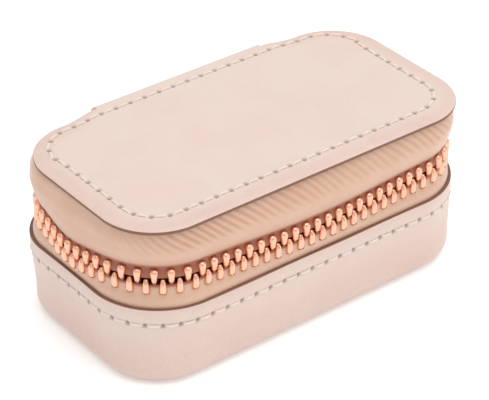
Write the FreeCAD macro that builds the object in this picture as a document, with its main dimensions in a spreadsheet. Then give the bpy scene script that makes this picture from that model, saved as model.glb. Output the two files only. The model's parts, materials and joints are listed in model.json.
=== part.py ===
"""A small zip-around leather jewellery case: a stiffened leather base with a lined, divided
tray, a flat leather lid hinged on a leather flap at the back, and a metal zip round the sides.

Millimetres. +X runs along the case to the right, +Y to the hinge at the back, +Z up. The origin
is the centre of the bottom leather's underside, on which the case stands. Each sub-part is one
labelled object of the document and is written to parts/LABEL.step.
"""

import FreeCAD, Part
import math
import os
import re

import Sketcher
from FreeCAD import Placement, Rotation, Vector

# Driving dimensions: alias, value, meaning. Heights of the layers are worked out from these.
DIMS = [
    ("case_length", 90.0, "base, left to right"),
    ("case_width", 49.0, "base, front to back"),
    ("corner_round", 13.5, "plan radius of the base's corners"),
    ("base_edge", 19.5, "height of the cut top edge of the base's wall leather"),
    ("lower_tape_show", 2.95, "lower zip tape seen between that edge and the teeth"),
    ("upper_tape_show", 9.25, "upper zip tape seen between the teeth and the lid leather"),
    ("leather", 1.2, "thickness of all the leather"),
    ("tape", 0.6, "thickness of the zip tape"),
    ("board", 1.5, "thickness of the stiffening boards"),
    ("lining", 0.6, "thickness of the microsuede lining"),
    ("floor_foam", 1.5, "thickness of the lined foam pad on the floor"),
    ("glue_gap", 0.05, "clearance between glued layers"),
    ("bottom_round", 3.0, "radius where the wall leather turns under"),
    ("turn_in", 7.0, "width of wall leather turned in under the floor"),
    ("bottom_gap", 0.15, "clearance round the bottom leather in that turn-in"),
    ("bottom_proud", 0.3, "how far the bottom leather stands below the turn-in"),
    ("board_setdown", 0.5, "wall board's top below the leather's edge"),
    ("tape_hem", 7.0, "width of tape sewn in behind the leather"),
    ("lid_setback", 2.1, "lid's back edge in front of the base's back"),
    ("lid_overhang", 0.1, "lid's front edge in front of the base"),
    ("lid_round", 13.0, "plan radius of the lid's corners"),
    ("lid_board_inset", 0.9, "lid board's back edge inside the lid leather's"),
    ("flap_width", 44.6, "hinge flap, left to right"),
    ("flap_lap", 9.5, "overlap of the flap on the base's back wall"),
    ("flap_bend", 2.6, "outer radius where the flap leaves the lid"),
    ("flap_corner", 3.0, "radius of the flap's lower corners"),
    ("flap_parting", 0.03, "half the gap between the flap's halves on the hinge line"),
    ("hinge_lining_inset", 0.4, "hinge lining's ends inside the flap's"),
    ("tape_tuck", 5.0, "length of each tape end behind the flap"),
    ("tooth_pitch", 3.0, "from one tooth to the next in a row"),
    ("tooth_width", 1.35, "tooth along the chain"),
    ("tooth_depth", 2.4, "tooth through the tape"),
    ("tooth_reach", 3.05, "from the chain's centre to a tooth's outer end"),
    ("tooth_gap", 0.4, "from the chain's centre to a tooth's nose"),
    ("tooth_seat", 0.05, "clearance of a tooth's jaws on the tape"),
    ("tooth_round", 0.3, "rounding of a tooth's corners"),
    ("tape_edge", 0.85, "from the chain's centre to the tape's edge"),
    ("stop_width", 2.0, "a stop along the chain"),
    ("stitch_pitch", 3.75, "from one stitch to the next"),
    ("stitch_long", 2.8, "length of thread seen in a stitch"),
    ("stitch_wide", 0.6, "width of the thread"),
    ("stitch_high", 0.35, "height of the thread above the leather"),
    ("stitch_gap", 0.03, "clearance between thread and leather"),
    ("lid_stitch_inset", 5.0, "lid's seam from its front edge and ends"),
    ("lid_back_stitch_inset", 2.3, "lid's seam from its back edge"),
    ("base_stitch_drop", 4.0, "base's seam below its edge"),
    ("flap_stitch_inset", 2.2, "flap's seam from its edge"),
    ("roll_bay", 34.0, "length of the ring roll bay"),
    ("roll_high", 12.5, "height of a ring roll"),
    ("roll_gap", 0.2, "clearance between rolls and beside them"),
    ("divider", 2.0, "thickness of a lined divider"),
    ("divider_high", 12.4, "height of the dividers"),
    ("divider_gap", 0.1, "clearance at a divider's ends"),
    ("pocket_inset", 2.0, "lid pocket inside the lid lining"),
    ("pocket_mouth", 3.0, "pocket's mouth in front of the lid's middle"),
    ("pocket_rim", 1.5, "width of the pocket's sewn rim"),
    ("pocket_room", 1.15, "space inside the pocket"),
    ("elastic", 1.0, "elastic along the pocket's mouth, across"),
    ("slider_long", 10.0, "slider, along the chain"),
    ("slider_high", 8.6, "slider, across the chain"),
    ("slider_plate", 1.2, "thickness of a slider plate"),
    ("slider_round", 2.2, "corner radius of a slider plate"),
    ("slider_room", 0.25, "clearance between plates and teeth"),
    ("slider_flange", 0.95, "width of a flange along a plate's lower edge"),
    ("slider_post", 0.7, "thickness of the post between the tooth rows"),
    ("slider_post_long", 1.6, "post, along the chain"),
    ("slider_overrun", 0.5, "slider's nose past the straight side"),
    ("crown_wire", 0.5, "radius of the crown's bar"),
    ("crown_long", 5.2, "crown, along the chain"),
    ("crown_gap", 1.55, "space under the crown's bar"),
    ("crown_bend", 1.0, "bend radius of the crown's bar"),
    ("ring_radius", 1.5, "pull ring, to the middle of its wire"),
    ("ring_wire", 0.45, "radius of the pull ring's wire"),
    ("ring_play", 0.03, "clearance of the ring on the crown"),
    ("pull_long", 12.5, "pull, from its eye to its round end's centre"),
    ("pull_eye", 0.8, "radius of the pull's eye"),
    ("pull_head", 1.35, "radius of the pull round its eye"),
    ("pull_foot", 2.4, "radius of the pull's round end"),
    ("pull_thick", 0.9, "thickness of the pull"),
    ("eye_play", 0.2, "clearance of the pull's eye on the ring"),
]
ROLLS = 4  # ring rolls side by side
NAMES = {name for name, _, _ in DIMS}

doc = FreeCAD.newDocument("jewellery_case")
dims = doc.addObject("Spreadsheet::Sheet", "dims")
for row, (name, value, meaning) in enumerate(DIMS, start=1):
    dims.set(f"A{row}", name)
    dims.set(f"B{row}", str(value))
    dims.set(f"C{row}", meaning)
    dims.setAlias(f"B{row}", name)
doc.recompute()
SIZE = {name: float(dims.get(name)) for name, _, _ in DIMS}

# Derived lengths, written as expressions of the sheet's aliases.
HALF_LENGTH = "case_length / 2"
HALF_WIDTH = "case_width / 2"
TAPE_OUT = "(leather + glue_gap)"  # layers, inwards from the wall's outer face
TAPE_IN = f"({TAPE_OUT} + tape)"
BOARD_OUT = f"({TAPE_IN} + glue_gap)"
BOARD_IN = f"({BOARD_OUT} + board)"
LINING_OUT = f"({BOARD_IN} + glue_gap)"
LINING_IN = f"({LINING_OUT} + lining)"
FLOOR_BOARD_LOW = "(bottom_proud + leather + glue_gap)"  # layers, upwards from the floor
FLOOR_TOP = f"({FLOOR_BOARD_LOW} + board + glue_gap)"
TRAY_LOW = f"({FLOOR_TOP} + floor_foam + glue_gap)"
CHAIN = "(base_edge + lower_tape_show + tooth_reach)"  # height of the zip's centre line
LID_LOW = f"({CHAIN} + tooth_reach + upper_tape_show)"  # underside of the lid leather
LID_TOP = f"({LID_LOW} + leather)"
UPPER_TAPE_TOP = f"({LID_LOW} - glue_gap)"
LID_BOARD_LOW = f"({UPPER_TAPE_TOP} - tape - glue_gap - board)"
LID_LINING_LOW = f"({LID_BOARD_LOW} - glue_gap - lining)"
POCKET_TOP = f"({LID_LINING_LOW} - glue_gap)"
POCKET_LOW = f"({POCKET_TOP} - pocket_room - lining)"
LID_FRONT = f"(-{HALF_WIDTH} - lid_overhang)"
LID_BACK = f"({HALF_WIDTH} - lid_setback)"
FLAP_IN = f"({HALF_WIDTH} + glue_gap)"
FLAP_OUT = f"({FLAP_IN} + leather)"  # the hinge line runs along this face at the zip's height
BOARD_FRONT = f"(-{HALF_WIDTH} + {BOARD_OUT})"
BOARD_BACK = f"({LID_BACK} - lid_board_inset)"
SLIDER_X = f"({HALF_LENGTH} - {TAPE_OUT} - tape / 2)"  # middle of the tape on the right side
SLIDER_Y = f"({HALF_WIDTH} - corner_round - slider_long / 2 + slider_overrun)"
PLATE_IN = "(tooth_depth / 2 + slider_room)"
PLATE_OUT = f"({PLATE_IN} + slider_plate)"
CROWN_X = f"({SLIDER_X} + {PLATE_OUT} + crown_gap + crown_wire)"
RING_DROP = "(ring_radius - ring_wire - crown_wire - ring_play)"


def bound(expression):
    """The expression with each alias written as a cell of the sheet."""
    return re.sub(
        r"[a-z][a-z_]*",
        lambda m: f"dims.{m.group(0)}" if m.group(0) in NAMES else m.group(0),
        str(expression),
    )


def bind(thing, **properties):
    """Binds properties of an object to the sheet; a name's double underscores stand for dots."""
    for name, expression in properties.items():
        thing.setExpression(name.replace("__", "."), bound(expression))


def new_body(label):
    body = doc.addObject("PartDesign::Body", label)
    body.Label = label
    return body


def new_sketch(body, plane, across="0", up="0", out="0"):
    """An empty sketch on one of the body's origin planes, shifted in it and off it."""
    sketch = body.newObject("Sketcher::SketchObject", "sketch")
    datum = next(f for f in body.Origin.OriginFeatures if f.Role == plane)
    sketch.AttachmentSupport = (datum, "")
    sketch.MapMode = "FlatFace"
    bind(
        sketch,
        AttachmentOffset__Base__x=across,
        AttachmentOffset__Base__y=up,
        AttachmentOffset__Base__z=out,
    )
    return sketch


def add_rounded_rectangle(sketch, tag, length, width, radius, guess=(40.0, 20.0, 8.0)):
    """A rectangle with round corners about the sketch's origin; its sizes are expressions."""
    x, y, r = guess
    first = sketch.GeometryCount
    line = lambda a, b, c, d: Part.LineSegment(Vector(a, b, 0), Vector(c, d, 0))
    quarter = lambda a, b, k: Part.ArcOfCircle(
        Part.Circle(Vector(a, b, 0), Vector(0, 0, 1), r), k * math.pi / 2, (k + 1) * math.pi / 2
    )
    edges = [
        line(r - x, y, x - r, y),
        quarter(x - r, y - r, 0),
        line(x, y - r, x, r - y),
        quarter(x - r, r - y, 3),
        line(x - r, -y, r - x, -y),
        quarter(r - x, r - y, 2),
        line(-x, r - y, -x, y - r),
        quarter(r - x, y - r, 1),
    ]
    sketch.addGeometry(edges, False)
    n = [first + i for i in range(len(edges))]
    add = lambda *a: sketch.addConstraint(Sketcher.Constraint(*a))
    for side in (0, 2, 4, 6):  # each side runs into the corner arc after it and before it
        add("Tangent", n[side], 2, n[side + 1], 2)
        add("Tangent", n[side + 1], 1, n[(side + 2) % 8], 1)
        add("Horizontal" if side % 4 == 0 else "Vertical", n[side])
    for corner in (3, 5, 7):
        add("Equal", n[1], n[corner])
    add("Symmetric", n[1], 3, n[5], 3, -1, 1)
    for kind, ends, value, size in (
        ("Radius", (n[1],), r, radius),
        ("DistanceX", (n[6], 1, n[2], 1), 2 * x, length),
        ("DistanceY", (n[4], 1, n[0], 1), 2 * y, width),
    ):
        index = add(kind, *ends, value)
        sketch.renameConstraint(index, f"{tag}_{kind}")
        sketch.setExpression(f"Constraints.{tag}_{kind}", bound(size))


def add_rectangle(sketch, tag, length, width):
    """A rectangle about the sketch's origin; its sizes are expressions."""
    corners = [Vector(x, y, 0) for x, y in ((-1, -1), (1, -1), (1, 1), (-1, 1))]
    edges = [Part.LineSegment(a, b) for a, b in zip(corners, corners[1:] + corners[:1])]
    first = sketch.GeometryCount
    sketch.addGeometry(edges, False)
    n = [first + i for i in range(len(edges))]
    add = lambda *a: sketch.addConstraint(Sketcher.Constraint(*a))
    for side in range(4):
        add("Coincident", n[side], 2, n[(side + 1) % 4], 1)
        add("Horizontal" if side % 2 == 0 else "Vertical", n[side])
    add("Symmetric", n[0], 1, n[1], 2, -1, 1)
    for kind, ends, size in (
        ("DistanceX", (n[0], 1, n[0], 2), length),
        ("DistanceY", (n[1], 1, n[1], 2), width),
    ):
        index = add(kind, *ends, 2.0)
        sketch.renameConstraint(index, f"{tag}_{kind}")
        sketch.setExpression(f"Constraints.{tag}_{kind}", bound(size))


def add_base_outline(sketch, tag, inset):
    """The base's plan outline, moved inwards by inset."""
    add_rounded_rectangle(
        sketch,
        tag,
        f"case_length - 2 * {inset}",
        f"case_width - 2 * {inset}",
        f"corner_round - {inset}",
    )


def pad(body, sketch, length, name="Pad", midplane=False):
    feature = body.newObject("PartDesign::Pad", name)
    feature.Profile = sketch
    feature.SideType = "Symmetric" if midplane else "One side"
    bind(feature, Length=length)
    return feature


def pocket(body, sketch, length, name="Pocket"):
    feature = body.newObject("PartDesign::Pocket", name)
    feature.Profile = sketch
    bind(feature, Length=length)
    return feature


def round_edges(body, feature, chosen, radius, name="Fillet"):
    """Fillets the feature's edges for which chosen(edge) holds."""
    doc.recompute()
    names = [f"Edge{i}" for i, e in enumerate(feature.Shape.Edges, 1) if chosen(e)]
    if not names:
        raise RuntimeError(f"{body.Label}: no edge to round")
    fillet = body.newObject("PartDesign::Fillet", name)
    fillet.Base = (feature, names)
    bind(fillet, Radius=radius)
    return fillet


def at_height(z):
    """True of edges that lie in the plane of that height."""
    return lambda e: all(abs(v.Z - z) < 1e-6 for v in e.Vertexes) and len(e.Vertexes) > 0


def block(label, x, y, z):
    """A box between pairs of expressions along X, Y and Z."""
    made = doc.addObject("Part::Box", label)
    made.Label = label
    for side, axis, (low, high) in zip(("Length", "Width", "Height"), "xyz", (x, y, z)):
        made.setExpression(side, bound(f"({high}) - ({low})"))
        made.setExpression(f"Placement.Base.{axis}", bound(low))
    return made


def boolean(kind, label, base, tool):
    made = doc.addObject(f"Part::{kind}", label)
    made.Label = label
    made.Base, made.Tool = base, tool
    return made


def layer(label, inset, low, height):
    """A flat layer with the base's outline, moved inwards by inset."""
    body = new_body(label)
    sketch = new_sketch(body, "XY_Plane", out=low)
    add_base_outline(sketch, "outline", inset)
    pad(body, sketch, height)
    return body


def wall(label, outer, inner, low, high):
    """A wall with the base's outline, between two insets and two heights."""
    body = new_body(label)
    sketch = new_sketch(body, "XY_Plane", out=low)
    add_base_outline(sketch, "outer", outer)
    add_base_outline(sketch, "inner", inner)
    pad(body, sketch, f"({high}) - ({low})")
    return body


def make_base_shell():
    """The wall leather, turned in under the floor, and the bottom leather in its opening."""
    body = new_body("base_wall_leather")
    outside = new_sketch(body, "XY_Plane", out="bottom_proud")
    add_base_outline(outside, "outline", "0")
    solid = pad(body, outside, "base_edge - bottom_proud")
    round_edges(body, solid, at_height(SIZE["bottom_proud"]), "bottom_round")
    inside = new_sketch(body, "XY_Plane", out="base_edge")
    add_base_outline(inside, "outline", "leather")
    pocket(body, inside, "base_edge - bottom_proud - leather", "Hollow")
    opening = new_sketch(body, "XY_Plane", out="base_edge")
    add_base_outline(opening, "outline", "turn_in")
    pocket(body, opening, "base_edge", "Opening")
    layer("base_bottom_leather", "(turn_in + bottom_gap)", "0", "leather")


def make_base_layers():
    layer("base_floor_board", TAPE_OUT, FLOOR_BOARD_LOW, "board")
    wall("base_wall_board", BOARD_OUT, BOARD_IN, FLOOR_TOP, "base_edge - board_setdown")
    layer("base_floor_pad", LINING_OUT, FLOOR_TOP, "floor_foam")
    wall("base_wall_lining", LINING_OUT, LINING_IN, TRAY_LOW, "base_edge")


def make_tray_fittings():
    """Ring rolls across the left bay, a divider beside them and one between two compartments."""
    bay_left = f"(-{HALF_LENGTH} + {LINING_IN} + roll_gap)"
    roll_step = f"(roll_bay / {ROLLS})"
    roll_wide = f"({roll_step} - roll_gap)"
    half_depth = f"({HALF_WIDTH} - {LINING_IN} - roll_gap)"
    round_centre = f"({TRAY_LOW} + roll_high - {roll_wide} / 2)"
    for i in range(ROLLS):
        left = f"({bay_left} + {i} * {roll_step})"
        foot = block(
            f"roll_foot_{i + 1}",
            (left, f"{left} + {roll_wide}"),
            (f"-{half_depth}", half_depth),
            (TRAY_LOW, round_centre),
        )
        crest = doc.addObject("Part::Cylinder", f"roll_crest_{i + 1}")
        bind(
            crest,
            Radius=f"{roll_wide} / 2",
            Height=f"2 * {half_depth}",
            Placement__Base__x=f"{left} + {roll_wide} / 2",
            Placement__Base__y=half_depth,
            Placement__Base__z=round_centre,
        )
        crest.Placement.Rotation = Rotation(Vector(1, 0, 0), 90)
        whole = boolean("Fuse", f"roll_whole_{i + 1}", foot, crest)
        room = layer(f"roll_room_{i + 1}", f"({LINING_IN} + roll_gap)", "0", "base_edge + roll_high")
        boolean("Common", f"ring_roll_{i + 1}", whole, room)
    cross_left = f"({bay_left} + roll_bay)"
    cross_right = f"({cross_left} + divider)"
    end_y = f"({HALF_WIDTH} - {LINING_IN} - divider_gap)"
    top = f"{TRAY_LOW} + divider_high"
    block("divider_cross", (cross_left, cross_right), (f"-{end_y}", end_y), (TRAY_LOW, top))
    block(
        "divider_lengthwise",
        (f"{cross_right} + glue_gap", f"{HALF_LENGTH} - {LINING_IN} - divider_gap"),
        ("-divider / 2", "divider / 2"),
        (TRAY_LOW, top),
    )


def make_tapes():
    """Each tape is a wall at the zip's line, open at the back between its tucked ends."""
    half_open = "(flap_width / 2 - tape_tuck)"
    lower = wall("lower_tape_ring", TAPE_OUT, TAPE_IN, "base_edge - tape_hem", f"{CHAIN} - tape_edge")
    upper = wall("upper_tape_ring", TAPE_OUT, TAPE_IN, f"{CHAIN} + tape_edge", UPPER_TAPE_TOP)
    flange = new_sketch(upper, "XY_Plane", out=f"{UPPER_TAPE_TOP} - tape")
    add_base_outline(flange, "outer", TAPE_OUT)
    add_base_outline(flange, "inner", f"({TAPE_OUT} + tape_hem)")
    pad(upper, flange, "tape", "Flange")
    for side, ring in (("lower", lower), ("upper", upper)):
        gap = block(
            f"{side}_tape_gap",
            (f"-{half_open}", half_open),
            ("0", f"{HALF_WIDTH}"),
            ("0", LID_TOP),
        )
        boolean("Cut", f"zip_tape_{side}", ring, gap)


def chain_point(s):
    """Position and heading on the tape's middle line, s along it from the middle of the back.

    The line runs from the back to the left side, the front and the right side. It returns x, y
    and the turn in degrees from the frame of a piece on the right side, whose outside is +X.
    """
    inset = SIZE["leather"] + SIZE["glue_gap"] + SIZE["tape"] / 2
    half_x = SIZE["case_length"] / 2 - inset
    half_y = SIZE["case_width"] / 2 - inset
    return rounded_rectangle_point(half_x, half_y, SIZE["corner_round"] - inset, s)


def rounded_rectangle_point(half_x, half_y, radius, s):
    """Position and outward angle, s along a rounded rectangle, anticlockwise from its back."""
    flat_x, flat_y, arc = half_x - radius, half_y - radius, radius * math.pi / 2
    corners = (
        (-flat_x, flat_y, 90),
        (-flat_x, -flat_y, 180),
        (flat_x, -flat_y, 270),
        (flat_x, flat_y, 360),
    )
    flats = (flat_x, 2 * flat_y, 2 * flat_x, 2 * flat_y)
    for (cx, cy, angle), flat in zip(corners, flats):
        out = Vector(math.cos(math.radians(angle)), math.sin(math.radians(angle)), 0)
        along = Vector(-out.y, out.x, 0)
        corner = Vector(cx, cy, 0)
        if s <= flat:
            point = corner + out * radius - along * (flat - s)
            return point.x, point.y, angle
        s -= flat
        if s <= arc:
            turned = angle + math.degrees(s / radius)
            spoke = Vector(math.cos(math.radians(turned)), math.sin(math.radians(turned)), 0)
            point = corner + spoke * radius
            return point.x, point.y, turned
        s -= arc
    return half_x - radius - s, half_y, 90 + 360


def make_clamp(label, width):
    """A tooth or stop on the right side's tape at the origin: jaws either side of the tape, with
    the nose towards the other row. It stands above the chain's centre; +X is outwards."""
    body = new_body(label)
    profile = new_sketch(body, "YZ_Plane")
    add_rounded_rectangle(
        profile, "jaw", width, "tooth_reach - tooth_gap", "tooth_round", (0.7, 1.3, 0.2)
    )
    bind(profile, AttachmentOffset__Base__y="(tooth_reach + tooth_gap) / 2")
    pad(body, profile, "tooth_depth", midplane=True)
    slot = new_sketch(body, "XY_Plane", out="tooth_reach + tooth_gap")
    add_rectangle(slot, "slot", "tape + 2 * tooth_seat", f"2 * {width}")
    pocket(body, slot, "tooth_reach + tooth_gap - tape_edge + tooth_seat", "TapeSlot")
    return body


def make_chain():
    """Both rows of teeth, half a pitch apart, from the flap's left edge to the slider; the
    stops end them. A tooth of the lower row is one of the upper row turned over."""
    tooth = make_clamp("tooth_master", "tooth_width")
    stop = make_clamp("stop_master", "stop_width")
    doc.recompute()
    height = SIZE["base_edge"] + SIZE["lower_tape_show"] + SIZE["tooth_reach"]
    inset = SIZE["leather"] + SIZE["glue_gap"] + SIZE["tape"] / 2
    flat_x = SIZE["case_length"] / 2 - SIZE["corner_round"]
    flat_y = SIZE["case_width"] / 2 - SIZE["corner_round"]
    corner = (SIZE["corner_round"] - inset) * math.pi / 2
    right_side = 3 * flat_x + 2 * flat_y + 3 * corner  # where the right side's straight starts
    stop_at = right_side + 2 * flat_y - SIZE["stop_width"] / 2
    start = SIZE["flap_width"] / 2 + SIZE["stop_width"] + SIZE["tooth_pitch"]
    count = int((stop_at - SIZE["tooth_pitch"] / 2 - start) / SIZE["tooth_pitch"])

    def placed(shape, s, up):
        x, y, angle = chain_point(s)
        turned = Rotation(Vector(0, 0, 1), angle)
        if not up:
            turned = turned.multiply(Rotation(Vector(1, 0, 0), 180))
        copy = shape.copy()
        copy.Placement = Placement(Vector(x, y, height), turned).multiply(copy.Placement)
        return copy

    for label, up in (("zip_teeth_upper", True), ("zip_teeth_lower", False)):
        shift = SIZE["tooth_pitch"] / 2 if up else 0.0
        places = [start + shift + i * SIZE["tooth_pitch"] for i in range(count)]
        group(label, [placed(tooth.Shape, s, up) for s in places])
    group("zip_top_stop_upper", [placed(stop.Shape, stop_at, True)])
    group("zip_top_stop_lower", [placed(stop.Shape, stop_at, False)])
    group("zip_bottom_stop", [placed(stop.Shape, start - SIZE["stop_width"], False)])


def group(label, solids):
    """A labelled object that holds like solids; its sizes were read from the sheet."""
    made = doc.addObject("Part::Feature", label)
    made.Label = label
    made.Shape = Part.makeCompound(solids) if len(solids) > 1 else solids[0]
    return made


def make_lid():
    """Lid leather with the upper half of the hinge flap, and the board and lining under it."""
    body = new_body("lid_leather")
    middle = f"({LID_FRONT} + {LID_BACK}) / 2"
    top = new_sketch(body, "XY_Plane", up=middle, out=LID_LOW)
    add_rounded_rectangle(top, "outline", "case_length", f"{LID_BACK} - {LID_FRONT}", "lid_round")
    pad(body, top, "leather", "Panel")
    tab = new_sketch(body, "XY_Plane", up=f"({LID_BACK} - leather + {FLAP_OUT}) / 2", out=LID_LOW)
    add_rectangle(tab, "tab", "flap_width", f"{FLAP_OUT} - {LID_BACK} + leather")
    pad(body, tab, "leather", "Tab")
    drop = new_sketch(body, "XY_Plane", up=f"({FLAP_IN} + {FLAP_OUT}) / 2", out=f"{CHAIN} + flap_parting")
    add_rectangle(drop, "drop", "flap_width", "leather")
    hanging = pad(body, drop, f"{LID_TOP} - {CHAIN} - flap_parting", "Flap")
    doc.recompute()
    top_z = SIZE["base_edge"] + SIZE["lower_tape_show"] + 2 * SIZE["tooth_reach"]
    top_z += SIZE["upper_tape_show"] + SIZE["leather"]
    outer_y = SIZE["case_width"] / 2 + SIZE["glue_gap"] + SIZE["leather"]

    def long_edge(y, z):
        """True of the flap's edge across its whole width, at that depth and height."""
        flat = at_height(z)
        return lambda e: flat(e) and all(abs(v.Y - y) < 1e-6 for v in e.Vertexes)

    inner = round_edges(
        body,
        hanging,
        long_edge(outer_y - SIZE["leather"], top_z - SIZE["leather"]),
        "flap_bend - leather",
        "InnerBend",
    )
    round_edges(body, inner, long_edge(outer_y, top_z), "flap_bend", "OuterBend")
    layers = (("lid_board", LID_BOARD_LOW, "board"), ("lid_lining", LID_LINING_LOW, "lining"))
    for label, low, thick in layers:
        under = new_body(label)
        plan = new_sketch(under, "XY_Plane", up=f"({BOARD_FRONT} + {BOARD_BACK}) / 2", out=low)
        add_rounded_rectangle(
            plan,
            "outline",
            f"case_length - 2 * {BOARD_OUT}",
            f"{BOARD_BACK} - {BOARD_FRONT}",
            f"corner_round - {BOARD_OUT}",
        )
        pad(under, plan, thick)


def make_lid_pocket():
    """A flat pocket over the hinge side of the lid's lining, open towards the front."""
    body = new_body("pocket_whole")
    middle = f"({BOARD_FRONT} + {BOARD_BACK}) / 2"
    long = f"(case_length - 2 * {BOARD_OUT} - 2 * pocket_inset)"
    deep = f"({BOARD_BACK} - {BOARD_FRONT} - 2 * pocket_inset)"
    rounding = f"(corner_round - {BOARD_OUT} - pocket_inset)"
    face = new_sketch(body, "XY_Plane", up=middle, out=POCKET_LOW)
    add_rounded_rectangle(face, "face", long, deep, rounding)
    pad(body, face, f"{POCKET_TOP} - {POCKET_LOW}")
    room = new_sketch(body, "XY_Plane", up=middle, out=POCKET_TOP)
    add_rounded_rectangle(
        room, "room", f"{long} - 2 * pocket_rim", f"{deep} - 2 * pocket_rim", f"{rounding} - pocket_rim"
    )
    pocket(body, room, "pocket_room")
    front = block(
        "pocket_front",
        (f"-{HALF_LENGTH}", HALF_LENGTH),
        (f"-{HALF_WIDTH}", "-pocket_mouth"),
        ("0", LID_TOP),
    )
    boolean("Cut", "lid_pocket", body, front)
    half = f"({HALF_LENGTH} - {BOARD_OUT} - pocket_inset)"
    block(
        "pocket_elastic",
        (f"-{half}", half),
        ("-pocket_mouth - glue_gap - elastic", "-pocket_mouth - glue_gap"),
        (POCKET_LOW, f"{POCKET_LOW} + elastic"),
    )


def make_hinge():
    """The flap's lower half on the base's back wall, and the lining strips behind both halves."""
    body = new_body("hinge_flap_lower")
    low = "(base_edge - flap_lap)"
    high = f"({CHAIN} - flap_parting)"
    face = new_sketch(body, "XZ_Plane", up=f"({low} + {high}) / 2", out=f"-{FLAP_OUT}")
    add_rectangle(face, "face", "flap_width", f"{high} - {low}")
    leaf = pad(body, face, "leather")
    bottom = SIZE["base_edge"] - SIZE["flap_lap"]
    through = lambda e: e.BoundBox.ZMax < bottom + SIZE["leather"] and e.BoundBox.XLength < 1e-6
    round_edges(body, leaf, lambda e: through(e) and e.BoundBox.ZLength < 1e-6, "flap_corner")
    half = "(flap_width / 2 - hinge_lining_inset)"
    outer = f"({HALF_WIDTH} - glue_gap)"
    across, deep = (f"-{half}", half), (f"{outer} - lining", outer)
    block("hinge_lining_lower", across, deep, ("base_edge + glue_gap", high))
    top = f"{LID_LOW} - (flap_bend - leather) - glue_gap"  # below the flap's inner bend
    block("hinge_lining_upper", across, deep, (f"{CHAIN} + flap_parting", top))


def cylinder(label, radius, length, turn, x, y, z):
    """A cylinder from a point, along the axis that turn gives to +Z."""
    made = doc.addObject("Part::Cylinder", label)
    made.Placement.Rotation = turn
    bind(
        made,
        Radius=radius,
        Height=length,
        Placement__Base__x=x,
        Placement__Base__y=y,
        Placement__Base__z=z,
    )
    return made


def torus(label, ring, wire, turn, x, y, z, sweep=360):
    """A torus, or a part of its sweep from its own +X, turned about its centre."""
    made = doc.addObject("Part::Torus", label)
    made.Label = label
    made.Angle3 = sweep
    made.Placement.Rotation = turn
    bind(
        made,
        Radius1=ring,
        Radius2=wire,
        Placement__Base__x=x,
        Placement__Base__y=y,
        Placement__Base__z=z,
    )
    return made


def make_slider():
    """Two plates joined by the post that runs between the tooth rows, and a bent bar, the
    crown, that carries the pull. The plates' lower edges hook under the lower teeth."""
    body = new_body("slider_plates")
    nose = f"{SLIDER_Y} + slider_long / 2 - slider_post_long / 2"
    post = new_sketch(body, "YZ_Plane", across=nose, up=CHAIN, out=SLIDER_X)
    add_rectangle(post, "post", "slider_post_long", "slider_post")
    pad(body, post, f"2 * {PLATE_IN} + slider_plate", "Post", midplane=True)
    plates = (
        ("outer", PLATE_IN, f"({PLATE_IN} - slider_flange)"),
        ("inner", f"-{PLATE_OUT}", f"-{PLATE_IN}"),
    )
    lip_high = "(slider_high / 2 - tooth_reach - slider_room)"
    for side, plate_from, lip_from in plates:
        plate = new_sketch(body, "YZ_Plane", across=SLIDER_Y, up=CHAIN, out=f"{SLIDER_X} + {plate_from}")
        add_rounded_rectangle(
            plate, side, "slider_long", "slider_high", "slider_round", (5, 4.3, 2.2)
        )
        pad(body, plate, "slider_plate", f"{side.title()}Plate")
        lip = new_sketch(
            body,
            "YZ_Plane",
            across=SLIDER_Y,
            up=f"{CHAIN} - slider_high / 2 + {lip_high} / 2",
            out=f"{SLIDER_X} + {lip_from}",
        )
        add_rectangle(lip, side, "slider_long - 2 * slider_round", lip_high)
        pad(body, lip, "slider_flange", f"{side.title()}Lip")
    half = "(crown_long / 2 - crown_wire)"
    foot = f"{SLIDER_X} + {PLATE_OUT} - slider_plate / 2"
    leg = f"{CROWN_X} - crown_bend - ({foot})"
    along_y, along_x = Rotation(Vector(1, 0, 0), -90), Rotation(Vector(0, 1, 0), 90)
    flat = f"({half} - crown_bend)"
    crown = [
        cylinder("crown_bar", "crown_wire", f"2 * {flat}", along_y, CROWN_X, f"{SLIDER_Y} - {flat}", CHAIN)
    ]
    for side, sign, start in (("back", "+", 0), ("front", "-", 270)):
        y = f"{SLIDER_Y} {sign} {half}"
        crown.append(cylinder(f"crown_leg_{side}", "crown_wire", leg, along_x, foot, y, CHAIN))
        crown.append(
            torus(
                f"crown_bend_{side}",
                "crown_bend",
                "crown_wire",
                Rotation(Vector(0, 0, 1), start),
                f"{CROWN_X} - crown_bend",
                f"{SLIDER_Y} {sign} {flat}",
                CHAIN,
                sweep=90,
            )
        )
    whole = doc.addObject("Part::MultiFuse", "zip_slider")
    whole.Label = "zip_slider"
    whole.Shapes = [body, *crown]


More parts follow.
